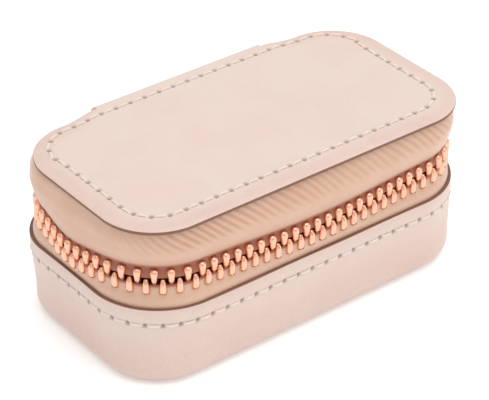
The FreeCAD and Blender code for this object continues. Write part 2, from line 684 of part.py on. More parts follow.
def make_pull():
    """A wire ring round the crown's bar, and a flat pull that widens to its round foot."""
    ring_z = f"({CHAIN} - {RING_DROP})"
    torus(
        "pull_ring", "ring_radius", "ring_wire", Rotation(Vector(1, 0, 0), 90), CROWN_X, SLIDER_Y, ring_z
    )
    body = new_body("pull_tab")
    eye_z = f"{ring_z} - ring_radius - (pull_eye - ring_wire - eye_play)"
    outline = new_sketch(body, "YZ_Plane", across=SLIDER_Y, up=eye_z, out=CROWN_X)
    head, foot, long = SIZE["pull_head"], SIZE["pull_foot"], SIZE["pull_long"]
    lean = math.asin((foot - head) / long)
    normal = Vector(math.cos(lean), math.sin(lean), 0)
    mirrored = Vector(-normal.x, normal.y, 0)
    low = Vector(0, -long, 0)
    up = Vector(0, 0, 1)
    outline.addGeometry(
        [
            Part.ArcOfCircle(Part.Circle(Vector(), up, head), lean, math.pi - lean),
            Part.LineSegment(mirrored * head, low + mirrored * foot),
            Part.ArcOfCircle(Part.Circle(low, up, foot), math.pi - lean, 2 * math.pi + lean),
            Part.LineSegment(low + normal * foot, normal * head),
            Part.Circle(Vector(), up, SIZE["pull_eye"]),
        ],
        False,
    )
    add = lambda *a: outline.addConstraint(Sketcher.Constraint(*a))
    add("Tangent", 0, 2, 1, 1)
    add("Tangent", 1, 2, 2, 1)
    add("Tangent", 2, 2, 3, 1)
    add("Tangent", 3, 2, 0, 1)
    add("Coincident", 0, 3, -1, 1)
    add("Coincident", 4, 3, -1, 1)
    add("PointOnObject", 2, 3, -2)
    measured = (
        ("Radius", (0,), head, "pull_head"),
        ("Radius", (2,), foot, "pull_foot"),
        ("Radius", (4,), SIZE["pull_eye"], "pull_eye"),
        ("DistanceY", (2, 3, 0, 3), long, "pull_long"),
    )
    for kind, ends, value, size in measured:
        index = add(kind, *ends, value)
        outline.renameConstraint(index, f"set_{size}")
        outline.setExpression(f"Constraints.set_{size}", bound(size))
    pad(body, outline, "pull_thick", midplane=True)


def stitch(place):
    """A stitch of thread at a placement: it runs along X and stands up in Z, off the leather."""
    long, wide = SIZE["stitch_long"], SIZE["stitch_wide"]
    thread = Part.makeBox(long, wide, SIZE["stitch_high"], Vector(-long / 2, -wide / 2, SIZE["stitch_gap"]))
    thread.Placement = place
    return thread


def spaced(start, end):
    """Places evenly spaced from start to end, about a stitch pitch apart."""
    count = max(2, round((end - start) / SIZE["stitch_pitch"]))
    return [start + (i + 0.5) * (end - start) / count for i in range(count)]


def facing(point, outward, along):
    """The placement at a point whose Z is outward and whose X is along."""
    return Placement(point, Rotation(along, Vector(), outward, "ZXY"))


def make_stitching():
    """The seams: round the lid, round the base below its edge, and round the flap's halves."""
    up, back = Vector(0, 0, 1), Vector(0, 1, 0)
    right = Vector(1, 0, 0)
    half_x, half_y = SIZE["case_length"] / 2, SIZE["case_width"] / 2
    chain = SIZE["base_edge"] + SIZE["lower_tape_show"] + SIZE["tooth_reach"]
    lid_low = chain + SIZE["tooth_reach"] + SIZE["upper_tape_show"]
    lid_top = lid_low + SIZE["leather"]
    inset, back_inset = SIZE["lid_stitch_inset"], SIZE["lid_back_stitch_inset"]
    lid_width = SIZE["case_width"] + SIZE["lid_overhang"] - SIZE["lid_setback"]
    seam_x, seam_y = half_x - inset, (lid_width - inset - back_inset) / 2
    seam_r = SIZE["lid_round"] - inset
    seam_middle = inset + seam_y - half_y - SIZE["lid_overhang"]
    lid_seam = []
    for s in spaced(0, 4 * (seam_x + seam_y - 2 * seam_r) + 2 * math.pi * seam_r):
        x, y, angle = rounded_rectangle_point(seam_x, seam_y, seam_r, s)
        turn = Rotation(up, angle + 90)
        lid_seam.append(stitch(Placement(Vector(x, y + seam_middle, lid_top), turn)))
    group("lid_stitching", lid_seam)
    around = 4 * (half_x + half_y - 2 * SIZE["corner_round"]) + 2 * math.pi * SIZE["corner_round"]
    clear = SIZE["flap_width"] / 2 + SIZE["stitch_wide"]
    wall_seam = []
    for s in spaced(clear, around - clear):
        x, y, angle = rounded_rectangle_point(half_x, half_y, SIZE["corner_round"], s)
        out = Vector(math.cos(math.radians(angle)), math.sin(math.radians(angle)), 0)
        seam = Vector(x, y, SIZE["base_edge"] - SIZE["base_stitch_drop"])
        wall_seam.append(stitch(facing(seam, out, Vector(-out.y, out.x, 0))))
    group("base_stitching", wall_seam)
    flap_y = half_y + SIZE["glue_gap"] + SIZE["leather"]
    edge_x = SIZE["flap_width"] / 2 - SIZE["flap_stitch_inset"]
    flap_low = SIZE["base_edge"] - SIZE["flap_lap"] + SIZE["flap_stitch_inset"]
    spare = SIZE["stitch_wide"]
    bend_low = lid_top - SIZE["flap_bend"]
    columns = {"upper": spaced(chain + spare, bend_low), "lower": spaced(flap_low + spare, chain - spare)}
    for half, heights in columns.items():
        seam = [facing(Vector(side * edge_x, flap_y, z), back, up) for side in (-1, 1) for z in heights]
        if half == "lower":
            reach = edge_x - spare
            seam += [facing(Vector(x, flap_y, flap_low), back, right) for x in spaced(-reach, reach)]
        seam = [stitch(place) for place in seam]
        group(f"flap_stitching_{half}", seam)


NODES = [
    "base_wall_leather",
    "base_bottom_leather",
    "base_floor_board",
    "base_wall_board",
    "base_floor_pad",
    "base_wall_lining",
    *[f"ring_roll_{i + 1}" for i in range(ROLLS)],
    "divider_cross",
    "divider_lengthwise",
    "zip_tape_lower",
    "zip_tape_upper",
    "zip_teeth_lower",
    "zip_teeth_upper",
    "zip_bottom_stop",
    "zip_top_stop_lower",
    "zip_top_stop_upper",
    "lid_leather",
    "lid_board",
    "lid_lining",
    "lid_pocket",
    "pocket_elastic",
    "hinge_flap_lower",
    "hinge_lining_lower",
    "hinge_lining_upper",
    "zip_slider",
    "pull_ring",
    "pull_tab",
    "lid_stitching",
    "base_stitching",
    "flap_stitching_lower",
    "flap_stitching_upper",
]


def write_parts():
    """Checks every object of the document, then writes each sub-part to its own file."""
    doc.recompute()
    for thing in doc.Objects:
        faults = {"Invalid", "Error"} & set(thing.State)
        if faults:
            raise RuntimeError(f"{thing.Label}: {', '.join(sorted(faults))}")
    shapes = {}
    for node in NODES:
        shape = doc.getObjectsByLabel(node)[0].Shape
        if shape.isNull() or not shape.isValid() or not shape.Solids:
            raise RuntimeError(f"{node}: no valid solid")
        shapes[node] = shape
    os.makedirs("parts", exist_ok=True)
    for node, shape in shapes.items():
        shape.exportStep(f"parts/{node}.step")
        print(f"{node}: {len(shape.Solids)} solid(s), {shape.Volume:.2f} mm3")


make_base_shell()
make_base_layers()
make_tray_fittings()
make_tapes()
make_chain()
make_lid()
make_lid_pocket()
make_hinge()
make_slider()
make_pull()
make_stitching()
write_parts()
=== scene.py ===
"""The looks of a zip-around leather jewellery case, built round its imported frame.

Every piece is a surface worked out with numpy: a profile carried along the case's rounded
outline, or one small shape repeated along it. Sizes are in metres. They come from the frame's
boxes, the sidebar's properties and the named values above each group of pieces.
"""

import functools
import json
import math

import bmesh
import bpy
import numpy as np
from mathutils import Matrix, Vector


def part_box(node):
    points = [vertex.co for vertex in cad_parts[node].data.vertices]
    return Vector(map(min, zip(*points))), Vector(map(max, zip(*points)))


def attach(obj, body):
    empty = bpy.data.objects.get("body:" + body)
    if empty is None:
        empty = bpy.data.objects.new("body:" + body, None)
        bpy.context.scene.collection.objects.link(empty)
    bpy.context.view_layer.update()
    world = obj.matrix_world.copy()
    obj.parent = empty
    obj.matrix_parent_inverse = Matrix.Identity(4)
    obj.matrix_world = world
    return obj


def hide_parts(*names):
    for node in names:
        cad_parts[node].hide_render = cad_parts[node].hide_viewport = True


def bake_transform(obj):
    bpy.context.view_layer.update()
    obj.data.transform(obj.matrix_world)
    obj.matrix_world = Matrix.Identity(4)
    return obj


bl_info = {
    "name": "Leather jewellery case",
    "version": (1, 0, 0),
    "blender": (4, 5, 0),
    "location": "View3D > Sidebar > Case",
    "description": "Builds the leather, zip, stitching and lining of a zip-around jewellery case",
    "category": "Add Mesh",
}

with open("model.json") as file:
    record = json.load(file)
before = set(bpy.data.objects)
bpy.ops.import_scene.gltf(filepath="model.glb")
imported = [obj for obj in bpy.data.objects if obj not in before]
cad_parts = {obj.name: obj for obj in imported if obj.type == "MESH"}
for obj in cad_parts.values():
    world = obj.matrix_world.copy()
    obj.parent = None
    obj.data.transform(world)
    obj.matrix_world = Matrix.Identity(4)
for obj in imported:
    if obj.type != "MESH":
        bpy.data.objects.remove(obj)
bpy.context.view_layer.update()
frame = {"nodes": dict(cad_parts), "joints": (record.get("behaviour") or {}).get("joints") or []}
MM = 0.001
COLUMNS = 1020  # points round the case's outline
TAU = 2 * math.pi

# ---------------------------------------------------------------- sizes taken from the frame
wall_low, wall_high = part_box("base_wall_leather")
lid_low, lid_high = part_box("lid_leather")
flap_low, flap_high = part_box("hinge_flap_lower")
tape_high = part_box("zip_tape_lower")[1]
upper_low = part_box("zip_tape_upper")[0]
LID_HINGE = next(joint for joint in frame["joints"] if joint["name"] == "lid_hinge")
AXIS_Y, CHAIN_Z = LID_HINGE["pos_m"][1:]
HALF_X, HALF_Y = wall_high.x, wall_high.y
EDGE_Z = wall_high.z
LID_TOP = lid_high.z
LID_FRONT = lid_low.y
LEATHER = flap_high.y - flap_low.y
TAPE_INSET = HALF_X - tape_high.x
TAPE_THICK = 0.6 * MM
CHAIN_INSET = TAPE_INSET + TAPE_THICK / 2
FLAP_HALF = flap_high.x


# ---------------------------------------------------------------- the user's sizes and colours
def measure(name, description, millimetres, **limits):
    """A length property whose default is given in millimetres."""
    return bpy.props.FloatProperty(name=name, description=description, default=millimetres * MM,
                                   unit="LENGTH", precision=5, **limits)


class CaseSizes(bpy.types.PropertyGroup):
    """Sizes that shape the leather and the zip."""

    corner: measure("Corner radius", "Plan radius of the base's corners", 13.5, min=0.0)
    lid_corner: measure("Lid corner radius", "Plan radius of the lid's corners", 13.0, min=0.0)
    lid_setback: measure("Lid setback", "Lid's back edge in front of the base's back", 2.1)
    flare_end: measure("End flare", "How far the wall's top edge leans out at the ends", 0.9)
    flare_front: measure("Front flare", "How far the wall's top edge leans out at the front", 1.1)
    flare_corner: measure("Flared corner radius", "Plan radius of the front corners at the top edge", 16.6)
    zip_puff: measure("Zip puff", "How far the soft tape stands out between its front corners", 1.6)
    zip_sag: measure("Zip sag", "How far the chain hangs down between its front corners", 0.9)
    tooth_pitch: measure("Tooth pitch", "From one tooth to the next in a row", 3.0)
    stitch_pitch: measure("Stitch pitch", "From one stitch to the next", 3.75)
    lid_seam: measure("Lid seam", "The lid's seam from its front edge and ends", 4.9)
    lid_back_seam: measure("Lid back seam", "The lid's seam from its back edge", 2.3)
    base_seam: measure("Base seam", "The base's seam below its edge", 4.0)


def colour(name, description, red, green, blue):
    """A colour property whose default is given as the 0 to 255 values of a screen colour."""
    linear = [((v / 255 + 0.055) / 1.055) ** 2.4 for v in (red, green, blue)]
    return bpy.props.FloatVectorProperty(
        name=name, description=description, subtype="COLOR", size=3, min=0.0, max=1.0,
        default=linear)


class CaseColours(bpy.types.PropertyGroup):
    """Colours of the case's finishes."""

    leather: colour("Leather", "Smooth blush leather", 217, 198, 187)
    # Also painted shade: mixed in more and more down the base's wall towards its foot.
    leather_flush_and_shade: colour("Leather flush", "Pinker patches of the leather", 214, 186, 175)
    cut_edge: colour("Cut edge", "Painted cut edge of the leather", 118, 80, 63)
    tape: colour("Tape", "Satin zip tape", 215, 177, 153)
    # Painted shade between the tape's ribs, in its weave's gaps and towards the teeth; also broad random
    # darker patches.
    tape_shade_and_tone: colour("Tape furrows", "Zip tape between its ribs", 186, 140, 114)
    # Painted shade: the tape in the fold over the teeth and between them.
    tape_shade_by_teeth: colour("Tape tuck", "Zip tape in the fold over the teeth", 154, 88, 62)
    metal: colour("Metal", "Rose gold of the zip", 242, 186, 158)
    # Painted shade: darkens the teeth's sides and noses; also broad random patches on all the zip's metal.
    metal_shade_and_tone: colour("Tarnish", "Zip metal in its corners", 196, 122, 92)
    thread: colour("Thread", "Waxed sewing thread", 228, 212, 199)
    # Also painted shade in the creases of the leather's grain.
    hole: colour("Awl hole", "Shaded leather round a stitch hole", 122, 108, 98)
    suede: colour("Suede", "Microsuede lining", 226, 200, 184)
    board: colour("Board", "Stiffening board", 168, 156, 140)


# ---------------------------------------------------------------- surfaces
def stations(s, half_x, half_y, radius):
    """Places at distances s along a rounded rectangle, as a run number and a share of that run.

    The runs go anticlockwise from the middle of the back: half the back, a corner, the left
    side, a corner, the front, a corner, the right side, a corner, half the back.
    """
    flat_x, flat_y, arc = half_x - radius, half_y - radius, radius * math.pi / 2
    lengths = np.array([flat_x, arc, 2 * flat_y, arc, 2 * flat_x, arc, 2 * flat_y, arc, flat_x])
    ends = np.cumsum(lengths)
    run = np.minimum(np.searchsorted(ends, s, side="right"), 8)
    share = (s - (ends - lengths)[run]) / lengths[run]
    return run, share


def way_round(half_x, half_y, radius):
    """Length of a rounded rectangle's outline."""
    return 4 * (half_x + half_y - 2 * radius) + TAU * radius


def evenly(count, length):
    """Distances of count points evenly round a closed outline of that length."""
    return np.arange(count) * length / count


def outline(places, right, left, back, front, back_radius, front_radius):
    """Points and outward unit normals at stations of a rounded rectangle.

    right, left, back and front are its four sides' coordinates, and each pair of corners has its
    own radius. A straight run is a point moved along it, and a corner is its centre plus the
    radius times the normal, whose angle grows evenly from one side's to the next's.
    """
    run, share = places
    rb, rf = back_radius, front_radius
    middle = 0.5 * (left + right)
    starts = np.array([(middle, back), (left + rb, back), (left, back - rb), (left, front + rf),
                       (left + rf, front), (right - rf, front), (right, front + rf),
                       (right, back - rb), (right - rb, back)])
    finishes = np.roll(starts, -1, axis=0)
    centres = np.array([(left + rb, back - rb), (left + rf, front + rf),
                        (right - rf, front + rf), (right - rb, back - rb)])
    corner = run % 2 == 1
    which = np.minimum(run // 2, 3)
    radius = np.array([rb, rf, rf, rb])[which]
    angle = (math.pi / 2) * (1 + (run + 1) // 2 - corner + np.where(corner, share, 0.0))
    normal = np.stack([np.cos(angle), np.sin(angle)], axis=1)
    straight = starts[run] + (finishes[run] - starts[run]) * share[:, None]
    round_part = centres[which] + radius[:, None] * normal
    return np.where(corner[:, None], round_part, straight), normal


def patch(points, wrap_u=False, wrap_v=False, flip=False, cut=False, **values):
    """The quads of a grid of points, with a number for each point under each name in values.

    Along a wrapped direction the last row is joined to the first. cut says of each step along
    the second direction whether its faces are the leather's cut edge.
    """
    nu, nv = points.shape[:2]
    i, j = np.meshgrid(np.arange(nu - (not wrap_u)), np.arange(nv - (not wrap_v)), indexing="ij")
    i2, j2 = (i + 1) % nu, (j + 1) % nv
    faces = np.stack([i * nv + j, i2 * nv + j, i2 * nv + j2, i * nv + j2], axis=-1).reshape(-1, 4)
    if flip:
        faces = faces[:, ::-1]
    flat = {k: np.broadcast_to(v, (nu, nv)).reshape(-1) for k, v in values.items()}
    finish = np.broadcast_to(cut, i.shape).reshape(-1)
    return points.reshape(-1, 3), faces, flat, finish


def cover(points, flip=False, cut=False):
    """One flat face across a closed ring of points."""
    order = np.arange(len(points))[None, :]
    return points, order[:, ::-1] if flip else order, {}, np.array([cut])


def make_mesh(name, patches, materials, weld=1e-6, sharp=38.0):
    """A smooth-shaded, closed object made of patches, sharp where faces meet at over that angle.

    Points closer than weld become one, and then the faces are turned outwards.
    """
    vertices, corners, sizes, finish, values, offset = [], [], [], [], {}, 0
    for points, faces, flat, cut in patches:
        vertices.append(points)
        corners.append((faces + offset).reshape(-1))
        sizes.append(np.full(len(faces), faces.shape[1]))
        finish.append(cut)
        for key in flat:
            values.setdefault(key, {})[offset] = flat[key]
        offset += len(points)
    vertices, corners, sizes = (np.concatenate(rows) for rows in (vertices, corners, sizes))
    mesh = bpy.data.meshes.new(name)
    mesh.vertices.add(len(vertices))
    mesh.vertices.foreach_set("co", vertices.astype(np.float32).reshape(-1))
    mesh.loops.add(len(corners))
    mesh.loops.foreach_set("vertex_index", corners.astype(np.int32))
    mesh.polygons.add(len(sizes))
    starts = np.concatenate([[0], np.cumsum(sizes)[:-1]])
    mesh.polygons.foreach_set("loop_start", starts.astype(np.int32))
    mesh.polygons.foreach_set("loop_total", sizes.astype(np.int32))
    mesh.update(calc_edges=True)
    for key, parts in values.items():
        data = np.zeros(len(vertices), np.float32)
        for first, flat in parts.items():
            data[first:first + len(flat)] = flat
        mesh.attributes.new(key, "FLOAT", "POINT").data.foreach_set("value", data)
    for material in materials:
        mesh.materials.append(material)
    mesh.polygons.foreach_set("material_index", np.concatenate(finish).astype(np.int32))
    editable = bmesh.new()
    editable.from_mesh(mesh)
    bmesh.ops.remove_doubles(editable, verts=editable.verts, dist=weld)
    bmesh.ops.recalc_face_normals(editable, faces=editable.faces)
    editable.to_mesh(mesh)
    editable.free()
    mesh.polygons.foreach_set("use_smooth", np.ones(len(mesh.polygons), bool))
    mesh.set_sharp_from_angle(angle=math.radians(sharp))
    made = bpy.data.objects.new(name, mesh)
    bpy.context.scene.collection.objects.link(made)
    return made


def finish_piece(piece, body, slot, *replaced):
    """The piece moves with its body and stands for its CAD nodes; slot is not used."""
    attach(piece, body)
    if replaced:
        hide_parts(*replaced)
    return piece


def carried(points, normal, off, height):
    """A profile carried round an outline: each point moves out along the normal, and up."""
    off = np.broadcast_to(off, (len(points), np.shape(off)[-1]))
    height = np.broadcast_to(height, off.shape)
    plan = points[:, None, :] + normal[:, None, :] * off[..., None]
    return np.concatenate([plan, height[..., None]], axis=-1)


def smooth(value, low, high):
    """0 below low, 1 above high, and an even S between them."""
    t = np.clip((value - low) / (high - low), 0.0, 1.0)
    return t * t * (3 - 2 * t)


def bump_at(distance, width):
    """A round bump, 1 at no distance and 0 from the width on."""
    return np.clip(1 - (distance / width) ** 2, 0.0, 1.0) ** 2


def arc_points(centre, radius, start, end, count):
    """Offsets and heights along an arc in a profile; angles in degrees."""
    angle = np.radians(np.linspace(start, end, count))
    return np.stack([centre[0] + radius * np.cos(angle), centre[1] + radius * np.sin(angle)], axis=1)


def joined(*stretches):
    """One profile from stretches that share their end points."""
    parts = [np.asarray(stretches[0], float)]
    parts += [np.asarray(s, float)[1:] for s in stretches[1:]]
    return np.concatenate(parts)


def line(start, end, count):
    """Points evenly spaced from start to end."""
    return np.linspace(start, end, count)


def repeated(shape, origin, along, out, up, **values):
    """One small shape at every origin, turned so that its x, y and z go along, out and up."""
    p, faces = shape
    points = (origin[:, None, :] + p[None, :, :1] * along[:, None, :]
              + p[None, :, 1:2] * out[:, None, :] + p[None, :, 2:] * up[:, None, :])
    shift = (np.arange(len(origin)) * len(p))[:, None, None]
    faces = (faces[None] + shift).reshape(-1, faces.shape[1])
    flat = {k: np.broadcast_to(v, (len(origin), len(p))).reshape(-1) for k, v in values.items()}
    return points.reshape(-1, 3), faces, flat, np.zeros(len(faces), bool)


# ---------------------------------------------------------------- shader groups and materials
def new_group(name, inputs, outputs):
    """An empty shader group; inputs and outputs are (name, kind, default)."""
    tree = bpy.data.node_groups.new(name, "ShaderNodeTree")
    for title, kind, default in inputs:
        item = tree.interface.new_socket(name=title, in_out="INPUT", socket_type=f"NodeSocket{kind}")
        if default is not None:
            item.default_value = default
    for title, kind in outputs:
        tree.interface.new_socket(name=title, in_out="OUTPUT", socket_type=f"NodeSocket{kind}")
    tree.nodes.new("NodeGroupInput")
    tree.nodes.new("NodeGroupOutput")
    return tree


class Graph:
    """Short words for adding nodes to a tree and joining them."""

    def __init__(self, tree):
        self.tree = tree

    def add(self, kind, inputs=None, **settings):
        node = self.tree.nodes.new(f"ShaderNode{kind}")
        for key, value in settings.items():
            setattr(node, key, value)
        for key, value in (inputs or {}).items():
            self.put(node.inputs[key], value)
        return node

    def put(self, socket, value):
        if isinstance(value, bpy.types.NodeSocket):
            self.tree.links.new(value, socket)
        elif hasattr(socket.default_value, "__len__") and len(socket.default_value) == 4:
            socket.default_value = (*tuple(value)[:3], 1.0)
        else:
            socket.default_value = value

    def math(self, operation, a, b=0.0, clamp=False):
        return self.add("Math", {0: a, 1: b}, operation=operation, use_clamp=clamp).outputs[0]

    def mix(self, share, a, b, blend="MIX"):
        node = self.add("Mix", data_type="RGBA", blend_type=blend)
        for index, value in ((0, share), (6, a), (7, b)):
            self.put(node.inputs[index], value)
        return node.outputs[2]

    def ramp(self, value, low, high):
        """The value stretched from low..high to 0..1, held at both ends."""
        stretch = {0: value, 1: low, 2: high}
        return self.add("MapRange", stretch, interpolation_type="SMOOTHSTEP").outputs[0]

    def noise(self, place, scale, detail=3.0, rough=0.55, distortion=0.0):
        return self.add("TexNoise", {"Vector": place, "Scale": scale, "Detail": detail,
                                     "Roughness": rough, "Distortion": distortion}).outputs[0]

    def attribute(self, name):
        return self.add("Attribute", attribute_name=name).outputs["Fac"]

    def place(self):
        return self.add("TexCoord").outputs["Object"]

    def group(self, tree, **inputs):
        node = self.add("Group", node_tree=tree)
        for key, value in inputs.items():
            self.put(node.inputs[key.replace("_", " ")], value)
        return node

    @property
    def given(self):
        return self.tree.nodes["Group Input"].outputs

    def give(self, **outputs):
        sink = self.tree.nodes["Group Output"]
        for key, value in outputs.items():
            self.tree.links.new(value, sink.inputs[key.replace("_", " ")])


def grain_group():
    """Leather grain: small pebbles between fine creases, plus pores, as a height and a mask."""
    tree = new_group("leather_grain", [("Place", "Vector", None), ("Size", "Float", 0.0009)],
                     [("Height", "Float"), ("Creases", "Float")])
    g = Graph(tree)
    scale = g.math("DIVIDE", 1.0, g.given["Size"])
    coarse = {"Vector": g.given["Place"], "Scale": 900.0, "Detail": 2.0}
    drift = g.add("TexNoise", coarse).outputs["Color"]
    shift = g.add("VectorMath", {0: drift, "Scale": 0.0004}, operation="SCALE").outputs[0]
    wandering = g.add("VectorMath", {0: g.given["Place"], 1: shift}, operation="ADD").outputs[0]
    cells = g.add("TexVoronoi", {"Vector": wandering, "Scale": scale, "Randomness": 1.0},
                  feature="DISTANCE_TO_EDGE").outputs["Distance"]
    pebbles = g.ramp(cells, 0.0, 0.22)
    pores = g.noise(g.given["Place"], 5200.0, 2.0)
    height = g.math("ADD", pebbles, g.math("MULTIPLY", pores, 0.45))
    g.give(Height=height, Creases=g.math("SUBTRACT", 1.0, pebbles))
    return tree


def mottle_group():
    """Slow variation of tone over a surface: broad patches broken by finer ones."""
    tree = new_group("mottle", [("Place", "Vector", None), ("Size", "Float", 0.02)], [("Mask", "Float")])
    g = Graph(tree)
    scale = g.math("DIVIDE", 1.0, g.given["Size"])
    broad = g.noise(g.given["Place"], scale, 4.0, 0.6, 0.3)
    g.give(Mask=g.ramp(broad, 0.36, 0.66))
    return tree


def weave_group():
    """Woven cloth from the piece's own coordinates: ribs one way crossed by fine threads."""
    tree = new_group("weave", [("Along", "Float", 0.0), ("Across", "Float", 0.0),
                               ("Thread", "Float", 0.00032)],
                     [("Height", "Float"), ("Gaps", "Float")])
    g = Graph(tree)
    turn = g.math("DIVIDE", TAU, g.given["Thread"])
    along = g.math("MULTIPLY", g.given["Along"], turn)
    across = g.math("MULTIPLY", g.given["Across"], turn)
    warp = g.math("SINE", along)
    weft = g.math("SINE", across)
    twill = g.math("SINE", g.math("ADD", along, across))
    height = g.math("ADD", g.math("MULTIPLY", warp, weft), g.math("MULTIPLY", twill, 0.6))
    g.give(Height=height, Gaps=g.ramp(height, 0.1, -1.0))
    return tree


def wear_group():
    """Handling: rubbed, slightly darker and smoother spots, strongest where rub is 1."""
    tree = new_group("handling", [("Place", "Vector", None), ("Rub", "Float", 0.0)], [("Mask", "Float")])
    g = Graph(tree)
    spots = g.ramp(g.noise(g.given["Place"], 420.0, 5.0, 0.65), 0.42, 0.72)
    fine = g.ramp(g.noise(g.given["Place"], 2600.0, 3.0), 0.35, 0.75)
    broken = g.math("MULTIPLY", g.math("ADD", spots, fine), 0.5)
    g.give(Mask=g.math("MULTIPLY", broken, g.given["Rub"], clamp=True))
    return tree


@functools.cache
def group_named(name):
    """A shared shader group, built once."""
    makers = {"grain": grain_group, "mottle": mottle_group, "weave": weave_group, "wear": wear_group}
    return makers[name]()


def new_material(name):
    """A material with its Principled shader, and short words for its nodes."""
    material = bpy.data.materials.new(name)
    material.use_nodes = True
    shader = material.node_tree.nodes["Principled BSDF"]
    return material, shader, Graph(material.node_tree)


def connect_bump(g, shader, height, strength, distance):
    """Bumps the shader's normal."""
    bump = g.add("Bump", {"Height": height, "Strength": strength, "Distance": distance})
    g.put(shader.inputs["Normal"], bump.outputs[0])


def rough(g, shader, low, more, mask):
    """Roughness from low, growing by more where the mask is 1."""
    g.put(shader.inputs["Roughness"], g.math("ADD", low, g.math("MULTIPLY", mask, more)))


def patches_of(g, size):
    """A mask of broad, slow patches of about that size."""
    return g.group(group_named("mottle"), Place=g.place(), Size=size).outputs["Mask"]


def leather_material(colours):
    """Smooth blush leather: fine grain with painted shade in its creases, flushed patches, a pinker edge
    band, painted shade towards the base's foot, shaded stitch holes, rubbed rims.
    """
    material, shader, g = new_material("blush_leather")
    place = g.place()
    grain = g.group(group_named("grain"), Place=place, Size=0.62 * MM)
    patches = patches_of(g, 17 * MM)
    hole, rim = g.attribute("hole"), g.attribute("rim")
    # Random pinker patches, plus the rim mask: a band along the edges and painted shade towards the base's
    # foot.
    flush_and_shade = g.math("ADD", g.math("MULTIPLY", patches, 0.35), g.math("MULTIPLY", rim, 0.65), clamp=True)
    skin = g.mix(flush_and_shade, colours.leather, colours.leather_flush_and_shade)
    # Painted shade in the grain's creases.
    crease_shaded = g.mix(g.math("MULTIPLY", grain.outputs["Creases"], 0.04), skin, colours.hole)
    holed = g.mix(g.math("MULTIPLY", hole, 0.85), crease_shaded, colours.hole)
    rubbed = g.group(group_named("wear"), Place=place, Rub=rim).outputs["Mask"]
    worn = g.mix(g.math("MULTIPLY", rubbed, 0.1), holed, colours.cut_edge)
    g.put(shader.inputs["Base Color"], worn)
    rough(g, shader, 0.42, 0.16, grain.outputs["Creases"])
    shader.inputs["Specular IOR Level"].default_value = 0.4
    shader.inputs["Sheen Weight"].default_value = 0.08
    connect_bump(g, shader, grain.outputs["Height"], 0.12, 0.04 * MM)
    return material


def cut_edge_material(colours):
    """The leather's cut edge: brown edge paint over packed fibres, worn lighter in places."""
    material, shader, g = new_material("painted_cut_edge")
    place = g.place()
    fibres = g.ramp(g.noise(place, 4200.0, 3.0), 0.35, 0.75)
    rubbed = g.group(group_named("wear"), Place=place, Rub=1.0).outputs["Mask"]
    light = [c * 1.6 for c in colours.cut_edge]
    shade = g.math("ADD", g.math("MULTIPLY", fibres, 0.4), g.math("MULTIPLY", rubbed, 0.35), clamp=True)
    g.put(shader.inputs["Base Color"], g.mix(shade, colours.cut_edge, light))
    rough(g, shader, 0.5, 0.2, fibres)
    connect_bump(g, shader, fibres, 0.3, 0.06 * MM)
    return material


def tape_material(colours):
    """Satin zip tape: a fine twill with painted shade in its gaps, painted shade in the furrows between
    slanting ribs and next to the teeth, broad darker patches, silky highlights.
    """
    material, shader, g = new_material("satin_tape")
    along, across, furrow = g.attribute("along"), g.attribute("across"), g.attribute("furrow")
    tuck = g.attribute("tuck")
    weave = g.group(group_named("weave"), Along=along, Across=across, Thread=0.42 * MM)
    patches = patches_of(g, 9 * MM)
    # deep: painted shade in the furrows between the ribs, plus broad random patches.
    deep = g.math("ADD", g.math("MULTIPLY", furrow, 0.85), g.math("MULTIPLY", patches, 0.12), clamp=True)
    cloth = g.mix(deep, colours.tape, colours.tape_shade_and_tone)
    # Painted shade in the gaps of the weave.
    weave_shaded = g.mix(g.math("MULTIPLY", weave.outputs["Gaps"], 0.35), cloth, colours.tape_shade_and_tone)
    # Painted shade growing towards the teeth, then the darkest painted shade by them.
    nearing_teeth_shaded = g.mix(g.math("MULTIPLY", g.ramp(tuck, 0.0, 0.8), 0.45), weave_shaded, colours.tape_shade_and_tone)
    g.put(shader.inputs["Base Color"], g.mix(g.ramp(tuck, 0.6, 1.0), nearing_teeth_shaded, colours.tape_shade_by_teeth))
    rough(g, shader, 0.36, 0.12, patches)
    shader.inputs["Sheen Weight"].default_value = 0.35
    shader.inputs["Sheen Roughness"].default_value = 0.35
    shader.inputs["Anisotropic"].default_value = 0.4
    connect_bump(g, shader, weave.outputs["Height"], 0.35, 0.04 * MM)
    return material


def metal_material(colours):
    """Polished rose gold: duller in rubbed spots, and darker in painted shade on the teeth's sides and
    noses and in broad random patches.
    """
    material, shader, g = new_material("rose_gold")
    place = g.place()
    patches = patches_of(g, 1.6 * MM)
    rubbed = g.group(group_named("wear"), Place=place, Rub=1.0).outputs["Mask"]
    # spots: painted shade from the teeth's shape, plus broad random patches.
    spots = g.math("ADD", g.attribute("tarnish"), g.math("MULTIPLY", patches, 0.15))
    g.put(shader.inputs["Base Color"], g.mix(g.ramp(spots, 0.1, 1.0), colours.metal, colours.metal_shade_and_tone))
    shader.inputs["Metallic"].default_value = 1.0
    rough(g, shader, 0.2, 0.2, rubbed)
    connect_bump(g, shader, g.noise(place, 3000.0, 3.0), 0.12, 0.03 * MM)
    return material


def thread_material(colours):
    """Waxed thread: strands twisted round each other."""
    material, shader, g = new_material("waxed_thread")
    twist = g.attribute("twist")
    strands = g.math("SINE", g.math("MULTIPLY", twist, TAU))
    shade = g.ramp(strands, 0.2, -1.0)
    dim = [c * 0.82 for c in colours.thread]
    g.put(shader.inputs["Base Color"], g.mix(g.math("MULTIPLY", shade, 0.5), colours.thread, dim))
    rough(g, shader, 0.4, 0.2, shade)
    shader.inputs["Sheen Weight"].default_value = 0.2
    connect_bump(g, shader, strands, 0.5, 0.05 * MM)
    return material


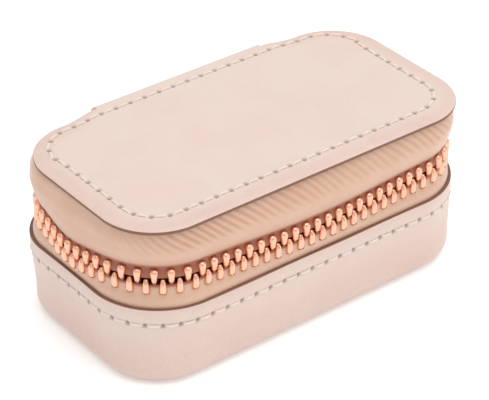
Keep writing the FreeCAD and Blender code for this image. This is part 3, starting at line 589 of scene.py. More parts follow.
def suede_material(colours):
    """Microsuede: a matte nap brushed lighter and darker in patches."""
    material, shader, g = new_material("microsuede")
    place = g.place()
    patches = patches_of(g, 7 * MM)
    nap = g.noise(place, 4200.0, 4.0, 0.7)
    lit = [min(c * 1.06, 1.0) for c in colours.suede]
    dim = [c * 0.8 for c in colours.suede]
    tone = g.mix(patches, lit, colours.suede)
    g.put(shader.inputs["Base Color"], g.mix(g.math("MULTIPLY", g.ramp(nap, 0.35, 0.7), 0.4), tone, dim))
    rough(g, shader, 0.85, 0.1, nap)
    shader.inputs["Sheen Weight"].default_value = 0.5
    shader.inputs["Sheen Roughness"].default_value = 0.5
    connect_bump(g, shader, nap, 0.4, 0.08 * MM)
    return material


def board_material(colours):
    """Pressed board: grey-brown pulp with darker fibres."""
    material, shader, g = new_material("pressed_board")
    place = g.place()
    fibres = g.ramp(g.noise(place, 1500.0, 6.0, 0.7, 1.0), 0.4, 0.7)
    dark = [c * 0.6 for c in colours.board]
    g.put(shader.inputs["Base Color"], g.mix(g.math("MULTIPLY", fibres, 0.6), colours.board, dark))
    rough(g, shader, 0.8, 0.1, fibres)
    connect_bump(g, shader, fibres, 0.3, 0.05 * MM)
    return material


@functools.cache
def finish_named(name):
    """A finish, built once from the user colours."""
    makers = {"leather": leather_material, "cut_edge": cut_edge_material, "tape": tape_material,
              "metal": metal_material, "thread": thread_material, "suede": suede_material,
              "board": board_material}
    return makers[name](bpy.context.scene.case_colours)


def dress(finish, *nodes):
    """A carried-over CAD node keeps its mesh and gets a better material."""
    for node in nodes:
        for slot in frame["nodes"][node].material_slots:
            slot.material = finish_named(finish)


# ---------------------------------------------------------------- seams
UP = np.array([0.0, 0.0, 1.0])
BACK = np.array([0.0, 1.0, 0.0])
RIGHT = np.array([1.0, 0.0, 0.0])
STITCH = (2.9 * MM, 0.7 * MM, 0.42 * MM)  # length, width and height of the thread seen
AWL_HOLE = 0.85 * MM  # radius of the dimple round a stitch hole
THREAD_SUNK = 0.1 * MM  # the thread is pulled this far into the leather
SEAM_REACH = 1.3 * MM  # nothing else happens this close to a seam
SEAM_ROWS = np.arange(-1.1, 1.11, 0.14) * MM  # fine rows of points across a seam


def along_closed(plan):
    """Distances to a closed line's points along it, the first point again at the end."""
    steps = np.linalg.norm(np.roll(plan, -1, axis=0) - plan, axis=1)
    return np.concatenate([[0.0], np.cumsum(steps)])


def to_nearest_hole(distance, pitch):
    """Distance along a closed seam to its nearest awl hole, with whole stitches all the way."""
    step = distance[-1] / round(distance[-1] / pitch)
    share = distance[:-1] / step
    return np.abs(share - np.round(share)) * step


def between_holes(s, length, distance, pitch):
    """The outline distances of the stitches' middles, from the seam's own distances."""
    count = round(distance[-1] / pitch)
    middles = (np.arange(count) + 0.5) * distance[-1] / count
    return np.interp(middles, distance, np.append(s, length))


def seam_holes(along, across):
    """The hole mask of a seam, and how deep the leather is drawn in, from distances to a hole.

    The mask is a round bump at each hole. The draw is a deeper bump there, plus a shallow furrow
    under the thread.
    """
    along, across = np.broadcast_arrays(along[:, None], across[None, :])
    away = np.hypot(along, across)
    draw = 0.4 * MM * bump_at(away, AWL_HOLE) + 0.04 * MM * bump_at(across, 0.8 * MM)
    return bump_at(away, AWL_HOLE), draw


def stitch_shape(length, width, height):
    """A stitch: an oval thread whose middle line rises in a flat arch and dives at both ends.

    Along it u goes from -1 to 1. The middle line stands at 0.45 heights less 1.25 heights times
    the sixth power of u. The oval's size is the root of 1 - u^8, so that both ends close.
    """
    u = np.array([-1.0, -0.9, -0.6, 0.0, 0.6, 0.9, 1.0])[:, None]
    v = np.linspace(0, TAU, 7)[None, :-1]
    swell = np.sqrt(1 - u ** 8)
    x = 0.5 * length * u + 0 * v
    y = 0.5 * width * swell * np.cos(v)
    z = height * (0.45 - 1.25 * u ** 6) + 0.5 * height * swell * np.sin(v)
    points, faces, _, _ = patch(np.stack([x, y, z], axis=-1), wrap_v=True)
    return (points, faces), (2.6 * u + v / TAU).reshape(-1)


def stitches(origin, along, up):
    """Separate stitches at origins on a surface, as one patch."""
    shape, twist = stitch_shape(*STITCH)
    return repeated(shape, origin, along, np.cross(up, along), up, twist=twist)


def in_space(plan, height=0.0):
    """Plan points or vectors in space, at a height."""
    return np.concatenate([plan, np.full((len(plan), 1), height)], axis=1)


# ---------------------------------------------------------------- the base's leather
FOOT_ROUND = 3 * MM
TURN_IN = 7 * MM
ROUNDED_EDGE = 0.16 * MM
SKIVED = 0.75 * MM  # the leather is pared to this thickness at its cut edges


def base_way(sizes):
    """Length of the base's outline."""
    return way_round(HALF_X, HALF_Y, sizes.corner)


def base_places(sizes, s):
    """Stations of the base's outline."""
    return stations(s, HALF_X, HALF_Y, sizes.corner)


def base_outline(sizes, places):
    """The base's plan, with no flare."""
    return outline(places, HALF_X, -HALF_X, HALF_Y, -HALF_Y, sizes.corner, sizes.corner)


def wall_plan(sizes, places, share):
    """The wall's plan at each share of the way from its foot's outline to its flared top edge's."""
    foot, normal = base_outline(sizes, places)
    edge, _ = outline(places, HALF_X + sizes.flare_end, -HALF_X - sizes.flare_end, HALF_Y,
                      -HALF_Y - sizes.flare_front, sizes.corner, sizes.flare_corner)
    return foot[:, None] + (edge - foot)[:, None] * share[None, :, None], normal


def lean(height):
    """The wall's share of its flare at a height: none at its foot, all at its top edge."""
    return smooth(height, 0.2 * EDGE_Z, EDGE_Z)


def seam_plan(sizes, places):
    """The plan of the base's seam, and its outward normals."""
    height = np.array([EDGE_Z - sizes.base_seam])
    plan, normal = wall_plan(sizes, places, lean(height))
    return plan[:, 0], normal


def beside_flap(plan, normal, margin):
    """True where the wall isn't behind the hinge flap."""
    return (np.abs(plan[:, 0]) > FLAP_HALF + margin) | (normal[:, 1] < 0.9)


def build_base_leather(sizes):
    """The wall leather: a closed profile carried round the base's outline.

    The profile runs in from the turn-in under the floor, round the bottom edge, up the wall,
    over the cut edge and down the inside. The wall leans out towards its top edge by an even S,
    and waves by less than a tenth of a millimetre.
    """
    length = base_way(sizes)
    s = evenly(COLUMNS, length)
    places = base_places(sizes, s)
    foot, soft = wall_low.z, ROUNDED_EDGE
    seam_z = EDGE_Z - sizes.base_seam
    seam_rows = seam_z + SEAM_ROWS
    wall_rows = np.concatenate([line(foot + FOOT_ROUND, seam_rows[0], 22)[:-1], seam_rows,
                                line(seam_rows[-1], EDGE_Z - soft, 12)[1:]])
    profile = joined(
        line((-TURN_IN, foot), (-FOOT_ROUND, foot), 6),
        arc_points((-FOOT_ROUND, foot + FOOT_ROUND), FOOT_ROUND, -90, 0, 12),
        np.stack([0 * wall_rows, wall_rows], axis=1),
        arc_points((-soft, EDGE_Z - soft), soft, 0, 90, 4),
        line((-soft, EDGE_Z), (soft - SKIVED, EDGE_Z), 3),
        arc_points((soft - SKIVED, EDGE_Z - soft), soft, 90, 180, 4),
        line((-SKIVED, EDGE_Z - soft), (-LEATHER, EDGE_Z - 4 * MM), 4),
        line((-LEATHER, EDGE_Z - 4 * MM), (-LEATHER, foot + LEATHER), 6),
        line((-LEATHER, foot + LEATHER), (-TURN_IN, foot + LEATHER), 5),
    )
    off, height = profile[:, 0], profile[:, 1]
    plan, normal = wall_plan(sizes, places, lean(height))
    on_wall = (off > -1e-6) & (height > foot + FOOT_ROUND)
    seam_line = along_closed(seam_plan(sizes, places)[0])
    hole, draw = seam_holes(to_nearest_hole(seam_line, sizes.stitch_pitch), height - seam_z)
    mask = on_wall[None, :] * beside_flap(plan[:, 0], normal, 0.0)[:, None]
    uneven = 0.07 * MM * np.sin(s * TAU * 9 / length)[:, None] * np.sin(height * 260.0) * on_wall
    points = plan + normal[:, None] * (off - draw * mask + uneven)[..., None]
    grid = np.concatenate([points, np.broadcast_to(height, points.shape[:2])[..., None]], axis=-1)
    middle = 0.5 * (height + np.roll(height, -1))
    inward = 0.5 * (off + np.roll(off, -1))
    cut = (middle > EDGE_Z - 0.8 * soft) & (inward > -SKIVED)
    # rim: a pinker band below the top edge, plus painted shade that grows down the wall to its foot.
    rim = 0.7 * smooth(height, EDGE_Z - 3 * MM, EDGE_Z) + 0.8 * smooth(-height, 3 * MM - EDGE_Z, -4 * MM)
    made = make_mesh("base_leather", [patch(grid, True, True, cut=cut, hole=hole * mask, rim=rim)],
                     [finish_named("leather"), finish_named("cut_edge")])
    return finish_piece(made, "base", "shell_leather", "base_wall_leather")


def build_base_stitching(sizes):
    """The seam below the base's top edge, open behind the hinge flap."""
    length = base_way(sizes)
    s = evenly(COLUMNS, length)
    seam_line = along_closed(seam_plan(sizes, base_places(sizes, s))[0])
    middles = between_holes(s, length, seam_line, sizes.stitch_pitch)
    plan, normal = seam_plan(sizes, base_places(sizes, middles))
    keep = beside_flap(plan, normal, 1.2 * MM)
    origin = in_space((plan - THREAD_SUNK * normal)[keep], EDGE_Z - sizes.base_seam)
    out = in_space(normal[keep])
    made = make_mesh("base_seam", [stitches(origin, np.cross(out, UP), out)], [finish_named("thread")])
    return finish_piece(made, "base", "thread", "base_stitching")


# ---------------------------------------------------------------- the lid and its hinge flap
LID_HALF_X = lid_high.x
FLAT_MIDDLE = 12.0 * MM  # the lid's flat middle starts this far in
FLAP_BEND = 2.6 * MM
FLAP_CORNER = 3.0 * MM
FLAP_SEAM = 2.2 * MM
LID_RIM = 0.9 * MM  # from the lid's edge to the first ring of its top
SHOULDER = 9.0 * MM  # the lid's back edge swells towards the flap over this length
FACING = 0.99  # a side faces a way where its normal's share of that way is over this


def nearness(plan, normal):
    """1 along the flap, and falling to 0 over the shoulder beside it."""
    return smooth(-np.abs(plan[:, 0]), -FLAP_HALF - SHOULDER, -FLAP_HALF) * (normal[:, 1] > FACING)


def lid_plan(sizes, s):
    """The lid leather's outline without its flap, swelling at the back towards the flap."""
    half_y, _ = lid_way(sizes)
    back, corner = HALF_Y - sizes.lid_setback, sizes.lid_corner
    places = stations(s, LID_HALF_X, half_y, corner)
    plan, normal = outline(places, LID_HALF_X, -LID_HALF_X, back, LID_FRONT, corner, corner)
    swell = (flap_high.y - FLAP_BEND - back) * nearness(plan, normal)
    return plan + swell[:, None] * np.array([0.0, 1.0]), normal


def lid_seam_inset(sizes, normal):
    """The lid seam's distance from the lid's edge, less towards the back."""
    return sizes.lid_seam - (sizes.lid_seam - sizes.lid_back_seam) * np.clip(normal[:, 1], 0, 1)


def lid_way(sizes):
    """Half the lid leather's depth, and its outline's length without the flap's swell."""
    half_y = (HALF_Y - sizes.lid_setback - LID_FRONT) / 2
    return half_y, way_round(LID_HALF_X, half_y, sizes.lid_corner)


def edge_roll(inset):
    """How far the lid's top lies below its middle: it rolls over a rounded edge.

    The drop is the square of the way from 5 mm in to the edge, plus a small quarter round.
    """
    far = np.clip(1 - inset / (5 * MM), 0, 1)
    near = np.clip(1 - inset / (0.7 * MM), 0, 1)
    return 0.42 * MM * far ** 2 + 0.28 * MM * (1 - np.sqrt(1 - near ** 2))


def bend_with_lid(piece, slot, *replaced):
    """A piece that crosses the leather hinge: the CAD nodes it replaces are hidden and its transform is
    baked into its mesh.
    """
    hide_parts(*replaced)
    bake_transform(piece)
    return piece


def build_lid_leather(sizes):
    """Lid leather and hinge flap in one piece.

    Rings at growing insets make the top, and rings one thickness lower the underside. Round the
    front and ends a rolled, cut edge joins them. At the back the top runs on over a quarter
    circle and down the flap, and comes back up along the flap's inner face.
    """
    s = evenly(COLUMNS, lid_way(sizes)[1])
    plan, normal = lid_plan(sizes, s)
    on_flap = (normal[:, 1] > FACING) & (np.abs(plan[:, 0]) <= FLAP_HALF)
    near_flap = nearness(plan, normal)[:, None]
    seam = sizes.lid_seam
    insets = np.concatenate([[FLAT_MIDDLE, 9 * MM, 7 * MM, 6.3 * MM],
                             seam - SEAM_ROWS, line(seam - SEAM_REACH, LID_RIM, 10)])
    seam_inset = lid_seam_inset(sizes, normal)[:, None]
    seam_line = along_closed(plan - seam_inset * normal)
    hole, draw = seam_holes(to_nearest_hole(seam_line, sizes.stitch_pitch), insets - seam)
    moves = np.interp(insets, [LID_RIM, seam - SEAM_REACH, seam + SEAM_REACH, FLAT_MIDDLE],
                      [0, 1, 1, 0])
    insets = insets + (seam_inset - seam) * moves
    top = carried(plan, normal, -insets, LID_TOP - edge_roll(insets) * (1 - near_flap) - draw)
    rim = smooth(-insets, -5.5 * MM, -1.5 * MM) * (1 - near_flap)
    low_insets = np.array([6 * MM, LID_RIM])
    under = carried(plan, normal, -low_insets,
                    LID_TOP - LEATHER - edge_roll(low_insets) * (1 - near_flap))
    patches = [patch(top, wrap_u=True, flip=True, hole=hole, rim=rim), cover(top[:, 0]),
               patch(under, wrap_u=True), cover(under[:, 0], flip=True)]
    first = int(np.argmax(~on_flap)) - 1
    last = len(s) - int(np.argmax(~on_flap[::-1]))
    ring = np.arange(first, last + 1)
    edge, cut_from = lid_edge(plan, normal, top[:, -1], under[:, -1], near_flap)
    steps = np.arange(edge.shape[1] - 1)
    patches.append(patch(edge[ring], flip=True, cut=steps >= cut_from, rim=0.9))
    strip = np.concatenate([np.arange(last, len(s)), np.arange(first + 1)])
    patches += hinge_flap(edge[strip], cut_from)
    made = make_mesh("lid_and_flap_leather", patches, [finish_named("leather"), finish_named("cut_edge")])
    return bend_with_lid(made, "shell_leather", "lid_leather", "hinge_flap_lower")


def lid_edge(plan, normal, top, under, near_flap):
    """The lid's edge, from the top's last ring out, down the cut and in to the underside's.

    Its second value is the step along it where the cut starts.
    """
    insets = np.array([0.7, 0.5, 0.3, 0.15, 0.05, 0.0]) * MM
    drop = edge_roll(insets) * (1 - near_flap)
    upper = carried(plan, normal, -insets, LID_TOP - drop)
    in_again = np.array([0.0, 0.02, 0.1, 0.25]) * MM
    down = np.array([0.2, 0.42, 0.6, 0.68]) * MM
    lower = carried(plan, normal, -in_again, LID_TOP - drop[:, -1:] - down)
    return np.concatenate([top[:, None], upper, lower, under[:, None]], axis=1), len(insets) - 1


def hinge_flap(edge, cut_from):
    """The flap: outer face, cut foot, inner face and two sides in the leather finish.

    Outer and inner faces are one path at two depths: on from the lid's edge, round a quarter
    circle, and down to a foot with two rounded corners.
    """
    outer_start, inner_start = edge[:, :cut_from + 2], edge[:, -1:]
    x = edge[:, 0, 0]
    away = np.clip(np.abs(x) - (FLAP_HALF - FLAP_CORNER), 0, FLAP_CORNER)
    foot = flap_low.z + FLAP_CORNER - np.sqrt(FLAP_CORNER ** 2 - away ** 2)
    sides = []
    for depth, start in ((0.0, outer_start), (LEATHER, inner_start)):
        bend = arc_points((flap_high.y - FLAP_BEND, LID_TOP - FLAP_BEND), FLAP_BEND - depth, 90, 0, 14)
        over = np.stack(np.broadcast_arrays(x[:, None], bend[:, 0], bend[:, 1]), axis=-1)
        fall = bend[-1, 1] + (foot[:, None] - bend[-1, 1]) * np.linspace(0, 1, 60)[1:]
        down = np.stack(np.broadcast_arrays(x[:, None], flap_high.y - depth, fall), axis=-1)
        sides.append(np.concatenate([start, over, down], axis=1))
    outer, inner = sides
    corner = outer_start.shape[1] - 1
    patches = [patch(outer), patch(inner, flip=True),
               patch(np.stack([outer[:, -1], inner[:, -1]], axis=1), cut=True)]
    for column in (0, -1):
        ring = np.concatenate([outer[column, corner:], inner[column, ::-1], edge[column, -2:corner:-1]])
        patches.append(cover(ring, flip=column == 0))
    return patches


def build_lid_stitching(sizes):
    """The seam round the lid."""
    length = lid_way(sizes)[1]
    s = evenly(COLUMNS, length)
    plan, normal = lid_plan(sizes, s)
    seam_line = along_closed(plan - lid_seam_inset(sizes, normal)[:, None] * normal)
    middles = between_holes(s, length, seam_line, sizes.stitch_pitch)
    plan, normal = lid_plan(sizes, middles)
    inset = lid_seam_inset(sizes, normal)
    origin = in_space(plan - inset[:, None] * normal, LID_TOP - THREAD_SUNK)
    origin[:, 2] -= edge_roll(inset) * (1 - nearness(plan, normal))
    along = np.cross(UP, in_space(normal))
    up = np.broadcast_to(UP, along.shape)
    made = make_mesh("lid_seam", [stitches(origin, along, up)], [finish_named("thread")])
    return finish_piece(made, "lid", "thread", "lid_stitching")


def build_flap_stitching(sizes):
    """The seams down both sides of the flap and along its foot."""
    side_x, face = FLAP_HALF - FLAP_SEAM, flap_high.y - THREAD_SUNK
    foot, head = flap_low.z + FLAP_SEAM, LID_TOP - FLAP_BEND - 0.6 * MM

    def spaced(start, end):
        count = round((end - start) / sizes.stitch_pitch)
        return start + (np.arange(count) + 0.5) * (end - start) / count

    heights, widths = spaced(foot, head), spaced(-side_x, side_x)
    patches = []
    for x in (-side_x, side_x):
        origin = np.stack(np.broadcast_arrays(x, face, heights), axis=-1)
        ones = np.ones((len(heights), 1))
        patches.append(stitches(origin, ones * UP, ones * BACK))
    origin = np.stack(np.broadcast_arrays(widths, face, foot), axis=-1)
    ones = np.ones((len(widths), 1))
    patches.append(stitches(origin, ones * RIGHT, ones * BACK))
    made = make_mesh("flap_seam", patches, [finish_named("thread")])
    return bend_with_lid(made, "thread", "flap_stitching_lower", "flap_stitching_upper")


# ---------------------------------------------------------------- the zip
TAPE_END = 17.3 * MM  # the tapes end this far from the middle of the back
CLOSED_GAP = 0.05 * MM  # past the slider each tape ends this far from the chain's centre
BULGE = 1.25 * MM  # how far the upper tape stands out at its fullest
TUCK_ABOVE = 3.0 * MM  # the fold over the teeth, above the chain's centre
RIB_PITCH = 2.1 * MM
RIB_HIGH = 0.2 * MM
STOP_WIDE = 2 * MM


def zip_line(sizes, places):
    """The zip's plan, its outward normals and its sag, for stations of the base's outline.

    It is the base's outline moved out by two bell curves, exp(-(d / w)^2), one at the middle of
    the front and one at the middle of the left end. It sags by the same two curves.
    """
    plan, normal = outline(places, HALF_X, -HALF_X, HALF_Y, -HALF_Y - 0.2 * MM, sizes.corner,
                           sizes.corner + 1.2 * MM)
    along_front = plan[:, 0] / (25 * MM)
    along_left = plan[:, 1] / (10 * MM)
    front = np.exp(-along_front ** 2) * smooth(-normal[:, 1], 0.0, 0.7)
    left = np.exp(-along_left ** 2) * smooth(-normal[:, 0], 0.0, 0.7)
    puff = sizes.zip_puff * (front + 1.2 * left)
    return plan + normal * puff[:, None], normal, sizes.zip_sag * (front + 1.3 * left)


def past_chain(sizes, s):
    """1 where the tapes run on behind the slider with no teeth, 0 along the chain."""
    last_corner = base_way(sizes) - (HALF_X - sizes.corner) - sizes.corner * math.pi / 2
    return smooth(s, last_corner + 1 * MM, last_corner + 5 * MM)


def tape_patches(s, plan, normal, off, height, **values):
    """A tape's outer face going up, and its inner face, one thickness in, coming down again."""
    outer, inner = (np.concatenate([plan + normal[:, None] * (off - depth)[..., None], height[..., None]],
                                   axis=-1) for depth in (0.0, TAPE_THICK))
    grid = np.concatenate([outer, inner[:, ::-1]], axis=1)
    values = dict(values, along=s[:, None] + 0 * height, across=height)
    both = {key: np.concatenate([value, value[:, ::-1]], axis=1) for key, value in values.items()}
    return [patch(grid, wrap_v=True, **both), cover(grid[0]), cover(grid[-1], flip=True)]


def build_lower_tape(sizes):
    """The lower tape, from its hem behind the leather to the teeth.

    It leaves the leather's cut edge at that edge's own flared line, and is led over to the zip's
    line within the strip that shows, with a slight swell.
    """
    s = line(TAPE_END, base_way(sizes) - TAPE_END, COLUMNS)
    places = base_places(sizes, s)
    rise = joined(line(-5 * MM, 0.0, 6), line(0.0, tape_high.z - EDGE_Z, 18))
    way = smooth(rise, -0.2 * MM, 3.4 * MM)
    edge, normal = wall_plan(sizes, places, lean(EDGE_Z + np.minimum(rise, 0)))
    zip_plan, _, sag = zip_line(sizes, places)
    plan = edge + (zip_plan[:, None] - edge) * way[None, :, None]
    swell = 0.2 * MM * bump_at(rise - 1.3 * MM, 1.8 * MM)
    start = np.where(rise < -1 * MM, TAPE_INSET, SKIVED + 0.02 * MM)
    off = np.broadcast_to(swell - start + (start - TAPE_INSET) * way, plan.shape[:2])
    shown = smooth(rise, 0.0, tape_high.z - EDGE_Z)
    closing = past_chain(sizes, s)[:, None] * (CHAIN_Z - CLOSED_GAP - tape_high.z)
    height = EDGE_Z + rise + (closing - sag[:, None]) * shown
    # Painted shade darkens the lower tape just below the chain.
    shade = smooth(EDGE_Z + rise, CHAIN_Z - 2.4 * MM, CHAIN_Z - 1.0 * MM)
    tuck = shade * (1 - past_chain(sizes, s))[:, None]
    patches = tape_patches(s, plan, normal, off, height, tuck=tuck)
    made = make_mesh("lower_tape", patches, [finish_named("tape")])
    return finish_piece(made, "base", "zip_tape", "zip_tape_lower")


def build_upper_tape(sizes):
    """The upper tape bulges between the lid and the chain, with slanting ribs near the lid.

    The bulge is half a sine wave up the tape. A rib is the crest of a wave in the distance along
    plus the height, so it slants at 45 degrees; ribs fade at mid height and round the corners.
    Just over the teeth the tape is tucked in to a fold, darkened with painted shade.
    """
    s = line(TAPE_END, base_way(sizes) - TAPE_END, COLUMNS + 150)
    places = base_places(sizes, s)
    tuck_z, top = CHAIN_Z + TUCK_ABOVE, LID_TOP - LEATHER - 0.25 * MM
    level = joined(line(upper_low.z, tuck_z, 6), line(tuck_z, top, 36))
    t = np.clip((level - tuck_z) / (top - tuck_z), 0, 1)
    zip_plan, normal, sag = zip_line(sizes, places)
    foot, _ = base_outline(sizes, places)
    way = smooth(level, tuck_z, top)
    plan = zip_plan[:, None] + (foot - zip_plan)[:, None] * way[None, :, None]
    closing = past_chain(sizes, s)[:, None]
    hanging = sag[:, None] + closing * (upper_low.z - CHAIN_Z - CLOSED_GAP)
    height = level - hanging * (1 - smooth(level, tuck_z, top))
    front = (np.clip(-normal[:, 1], 0, 1) ** 3)[:, None]
    back = (np.clip(normal[:, 1], 0, 1) ** 6)[:, None]
    fold = 0.35 * MM * bump_at(level - tuck_z, 1.3 * MM)
    bulge = BULGE * np.sin(np.pi * 0.92 * t ** 1.05) - fold
    wander = 0.28 * (0.5 * np.sin(s * 190.0) + 0.35 * np.sin(s * 433.0 + 1.0))
    ridge = 0.5 + 0.5 * np.cos(TAU * ((s[:, None] + 1.05 * level) / RIB_PITCH + wander[:, None]))
    strength = (0.12 + 0.88 * front) * smooth(t, 0.38, 0.66) * (1 - 0.4 * smooth(t, 0.95, 1.0))
    strength = strength * (0.75 + 0.25 * np.sin(s * 75.0 + 0.6))[:, None]
    creases = 0.05 * MM * np.sin(level * 2300.0 + 3 * np.sin(s * 60.0)[:, None]) * (1 - front)
    off = bulge * (1 - 0.55 * back) + RIB_HIGH * ridge * strength - TAPE_INSET
    off = off + creases * smooth(t, 0.1, 0.4)
    # Painted shade darkens the fold over the teeth.
    tuck = (1 - smooth(t, 0.0, 0.42)) * (1 - closing)
    # Painted shade in the furrows between the ribs.
    furrow = (1 - ridge) * strength
    patches = tape_patches(s, plan, normal, off, height, tuck=tuck, furrow=furrow)
    made = make_mesh("upper_tape", patches, [finish_named("tape")])
    return finish_piece(made, "lid", "zip_tape", "zip_tape_upper")


MESHED_NOSE = -0.62 * MM  # a tooth's nose from the chain's centre, past it where the rows mesh
CLEAR_NOSE = 0.4 * MM  # and short of it along the end where the slider's post runs


def tooth_shape(nose):
    """A tooth: rounded ovals stacked from its nose to its outer end, and how much painted shade each point
    takes.

    Half width and half depth grow from nothing at the nose, stay nearly even over the jaws and close again
    at the end. Each oval is a superellipse of power 3. Its outer face is bright, and painted shade darkens
    it towards the tape, most of all at the nose.
    """
    neck = nose + 0.12 * MM
    z = np.array([nose, neck, 0.5 * (neck + 1.2 * MM), 1.2 * MM, 2.2 * MM, 2.8 * MM, 3.08 * MM])
    wide = np.array([0.0, 0.46, 0.66, 0.76, 0.92, 0.82, 0.0]) * MM
    deep = np.array([0.0, 0.65, 1.1, 1.2, 1.22, 1.0, 0.0]) * MM
    v = np.linspace(0, TAU, 9)[:-1] + TAU / 16
    c, w = np.cos(v), np.sin(v)
    x = wide[:, None] * np.sign(c) * np.abs(c) ** (2 / 3)
    y = deep[:, None] * np.sign(w) * np.abs(w) ** (2 / 3)
    rings = np.stack([x, y, np.broadcast_to(z[:, None], x.shape)], axis=-1)
    points, faces, _, _ = patch(rings, wrap_v=True)
    face = smooth(points[:, 1], -0.6 * MM, 0.6 * MM)
    # Painted shade: none on the outer face, more towards the tape and most at the nose.
    tarnish = 1 - face * (0.7 + 0.3 * smooth(points[:, 2], -0.4 * MM, 0.9 * MM))
    return (points, faces), tarnish


def chain_frames(sizes, s):
    """Origins on the tape's middle line at the zip's height, with headings along and out."""
    places = stations(s, HALF_X - CHAIN_INSET, HALF_Y - CHAIN_INSET, sizes.corner - CHAIN_INSET)
    plan, normal, sag = zip_line(sizes, places)
    origin = in_space(plan - CHAIN_INSET * normal, CHAIN_Z)
    origin[:, 2] -= sag
    out = in_space(normal)
    return origin, np.cross(UP, out), out


def build_teeth(sizes):
    """Two rows of teeth half a pitch apart; a lower tooth is an upper one turned over."""
    pitch = sizes.tooth_pitch
    straight = 3 * (HALF_X - sizes.corner) + 4 * (HALF_Y - sizes.corner)
    corners = 3 * (sizes.corner - CHAIN_INSET) * math.pi / 2
    start = FLAP_HALF + STOP_WIDE + pitch
    count = int((straight + corners - STOP_WIDE / 2 - pitch / 2 - start) / pitch)
    for name, body, side, node in (("upper_teeth", "lid", 1, "zip_teeth_upper"),
                                   ("lower_teeth", "base", -1, "zip_teeth_lower")):
        s = start + np.arange(count) * pitch + (pitch / 2 if side > 0 else 0)
        origin, along, out = chain_frames(sizes, s)
        up = np.broadcast_to(side * UP, along.shape)
        at_slider = out[:, 0] > FACING
        teeth = []
        for nose, row in ((MESHED_NOSE, ~at_slider), (CLEAR_NOSE, at_slider)):
            shape, tarnish = tooth_shape(nose)
            headings = side * along[row], out[row], up[row]
            teeth.append(repeated(shape, origin[row], *headings, tarnish=tarnish))
        made = make_mesh(name, teeth, [finish_named("metal")], sharp=70.0)
        finish_piece(made, body, "zip_metal", node)


# ---------------------------------------------------------------- the inside
ROLL_FILL = 0.8  # how full the ring rolls are stuffed


def pad_shape(low, high, fullness, around=56, rows=26):
    """A stuffed pad in a box: a superellipse in plan, crowned on top and rounded at its foot.

    Going up, v runs from -1 at the middle of the foot to 1 at the middle of the top. The height
    is the sine of v's quarter turn, and the plan's size is its cosine to a small power, so that
    the sides stand nearly straight.
    """
    centre, half = 0.5 * (low + high), 0.5 * (high - low)
    angle = np.linspace(0, TAU, around + 1)[:-1][:, None]
    v = np.linspace(-1, 1, rows)[None, :]
    power = 0.24 + 0.2 * (1 - fullness)
    slope = np.sin(v * math.pi / 2)
    size = np.sqrt(np.clip(1 - np.abs(slope) ** 2, 0, 1)) ** power
    size[:, [0, -1]] = 0.0
    c, w = np.cos(angle), np.sin(angle)
    x = centre[0] + half[0] * size * np.sign(c) * np.abs(c) ** 0.35
    y = centre[1] + half[1] * size * np.sign(w) * np.abs(w) ** 0.35
    z = centre[2] + half[2] * slope + 0 * angle
    return np.stack([x, y, z], axis=-1)


def build_ring_rolls():
    """Four stuffed rolls side by side that hold rings between them."""
    for number in (1, 2, 3, 4):
        low, high = (np.array(end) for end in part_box(f"ring_roll_{number}"))
        pad = patch(pad_shape(low, high, ROLL_FILL), wrap_u=True)
        made = make_mesh(f"stuffed_ring_roll_{number}", [pad], [finish_named("suede")], sharp=80.0)
        finish_piece(made, "base", "foam_pad", f"ring_roll_{number}")


def build_floor_pad(sizes):
    """The thin lined pad on the floor: the box's outline with a pillowed top and a rolled rim."""
    low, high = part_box("base_floor_pad")
    half_x, half_y, thick = high.x, high.y, high.z - low.z
    corner = sizes.corner - (HALF_X - half_x)
    s = evenly(240, way_round(half_x, half_y, corner))
    places = stations(s, half_x, half_y, corner)
    plan, normal = outline(places, half_x, -half_x, half_y, -half_y, corner, corner)
    rise = np.array([0.0, 0.0, 0.3, 0.7, 0.9, 0.97, 1.0])
    inset = np.array([1.2, 0.2, 0.0, 0.0, 0.25, 1.2, 4.0]) * MM
    grid = carried(plan, normal, -inset, low.z + thick * rise)
    patches = [patch(grid, wrap_u=True), cover(grid[:, 0]), cover(grid[:, -1], flip=True)]
    made = make_mesh("padded_floor", patches, [finish_named("suede")])
    return finish_piece(made, "base", "foam_pad", "base_floor_pad")


def build_lid_pocket():
    """The lid's pocket: one sheet of lining, sewn on three sides and gathered at its mouth.

    It hangs from its sewn edges by a smooth S over the first few millimetres. Towards the mouth
    it waves in even gathers, whose height grows with the square of the way from the back.
    """
    low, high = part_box("lid_pocket")
    back, mouth = high.y, low.y
    u = np.linspace(-1, 1, 421)[:, None]
    v = np.linspace(0, 1, 40)[None, :]
    x = high.x * u + 0 * v
    y = back + (mouth - back) * v + 0 * u
    from_side = high.x - np.abs(x)
    sag = smooth(np.minimum(from_side, back - y), 0.5 * MM, 4 * MM)
    gathers = 0.5 + 0.5 * np.sin(u * TAU * 17 + 0.7 * np.sin(u * 23))
    room = high.z - low.z - 0.5 * MM
    z = high.z - 0.1 * MM - room * sag * (0.45 + 0.5 * v ** 2 * gathers + 0.05 * np.sin(u * 9 + 3 * v))
    face = np.stack([x, y, z], axis=-1)
    under = face - np.array([0, 0, 0.4 * MM])
    rim = [np.concatenate([side[:, 0], side[-1, 1:], side[-2::-1, -1], side[0, -2:0:-1]])
           for side in (face, under)]
    patches = [patch(face), patch(under, flip=True), patch(np.stack(rim, axis=1), wrap_u=True)]
    made = make_mesh("gathered_lid_pocket", patches, [finish_named("suede")])
    return finish_piece(made, "lid", "lining", "lid_pocket")


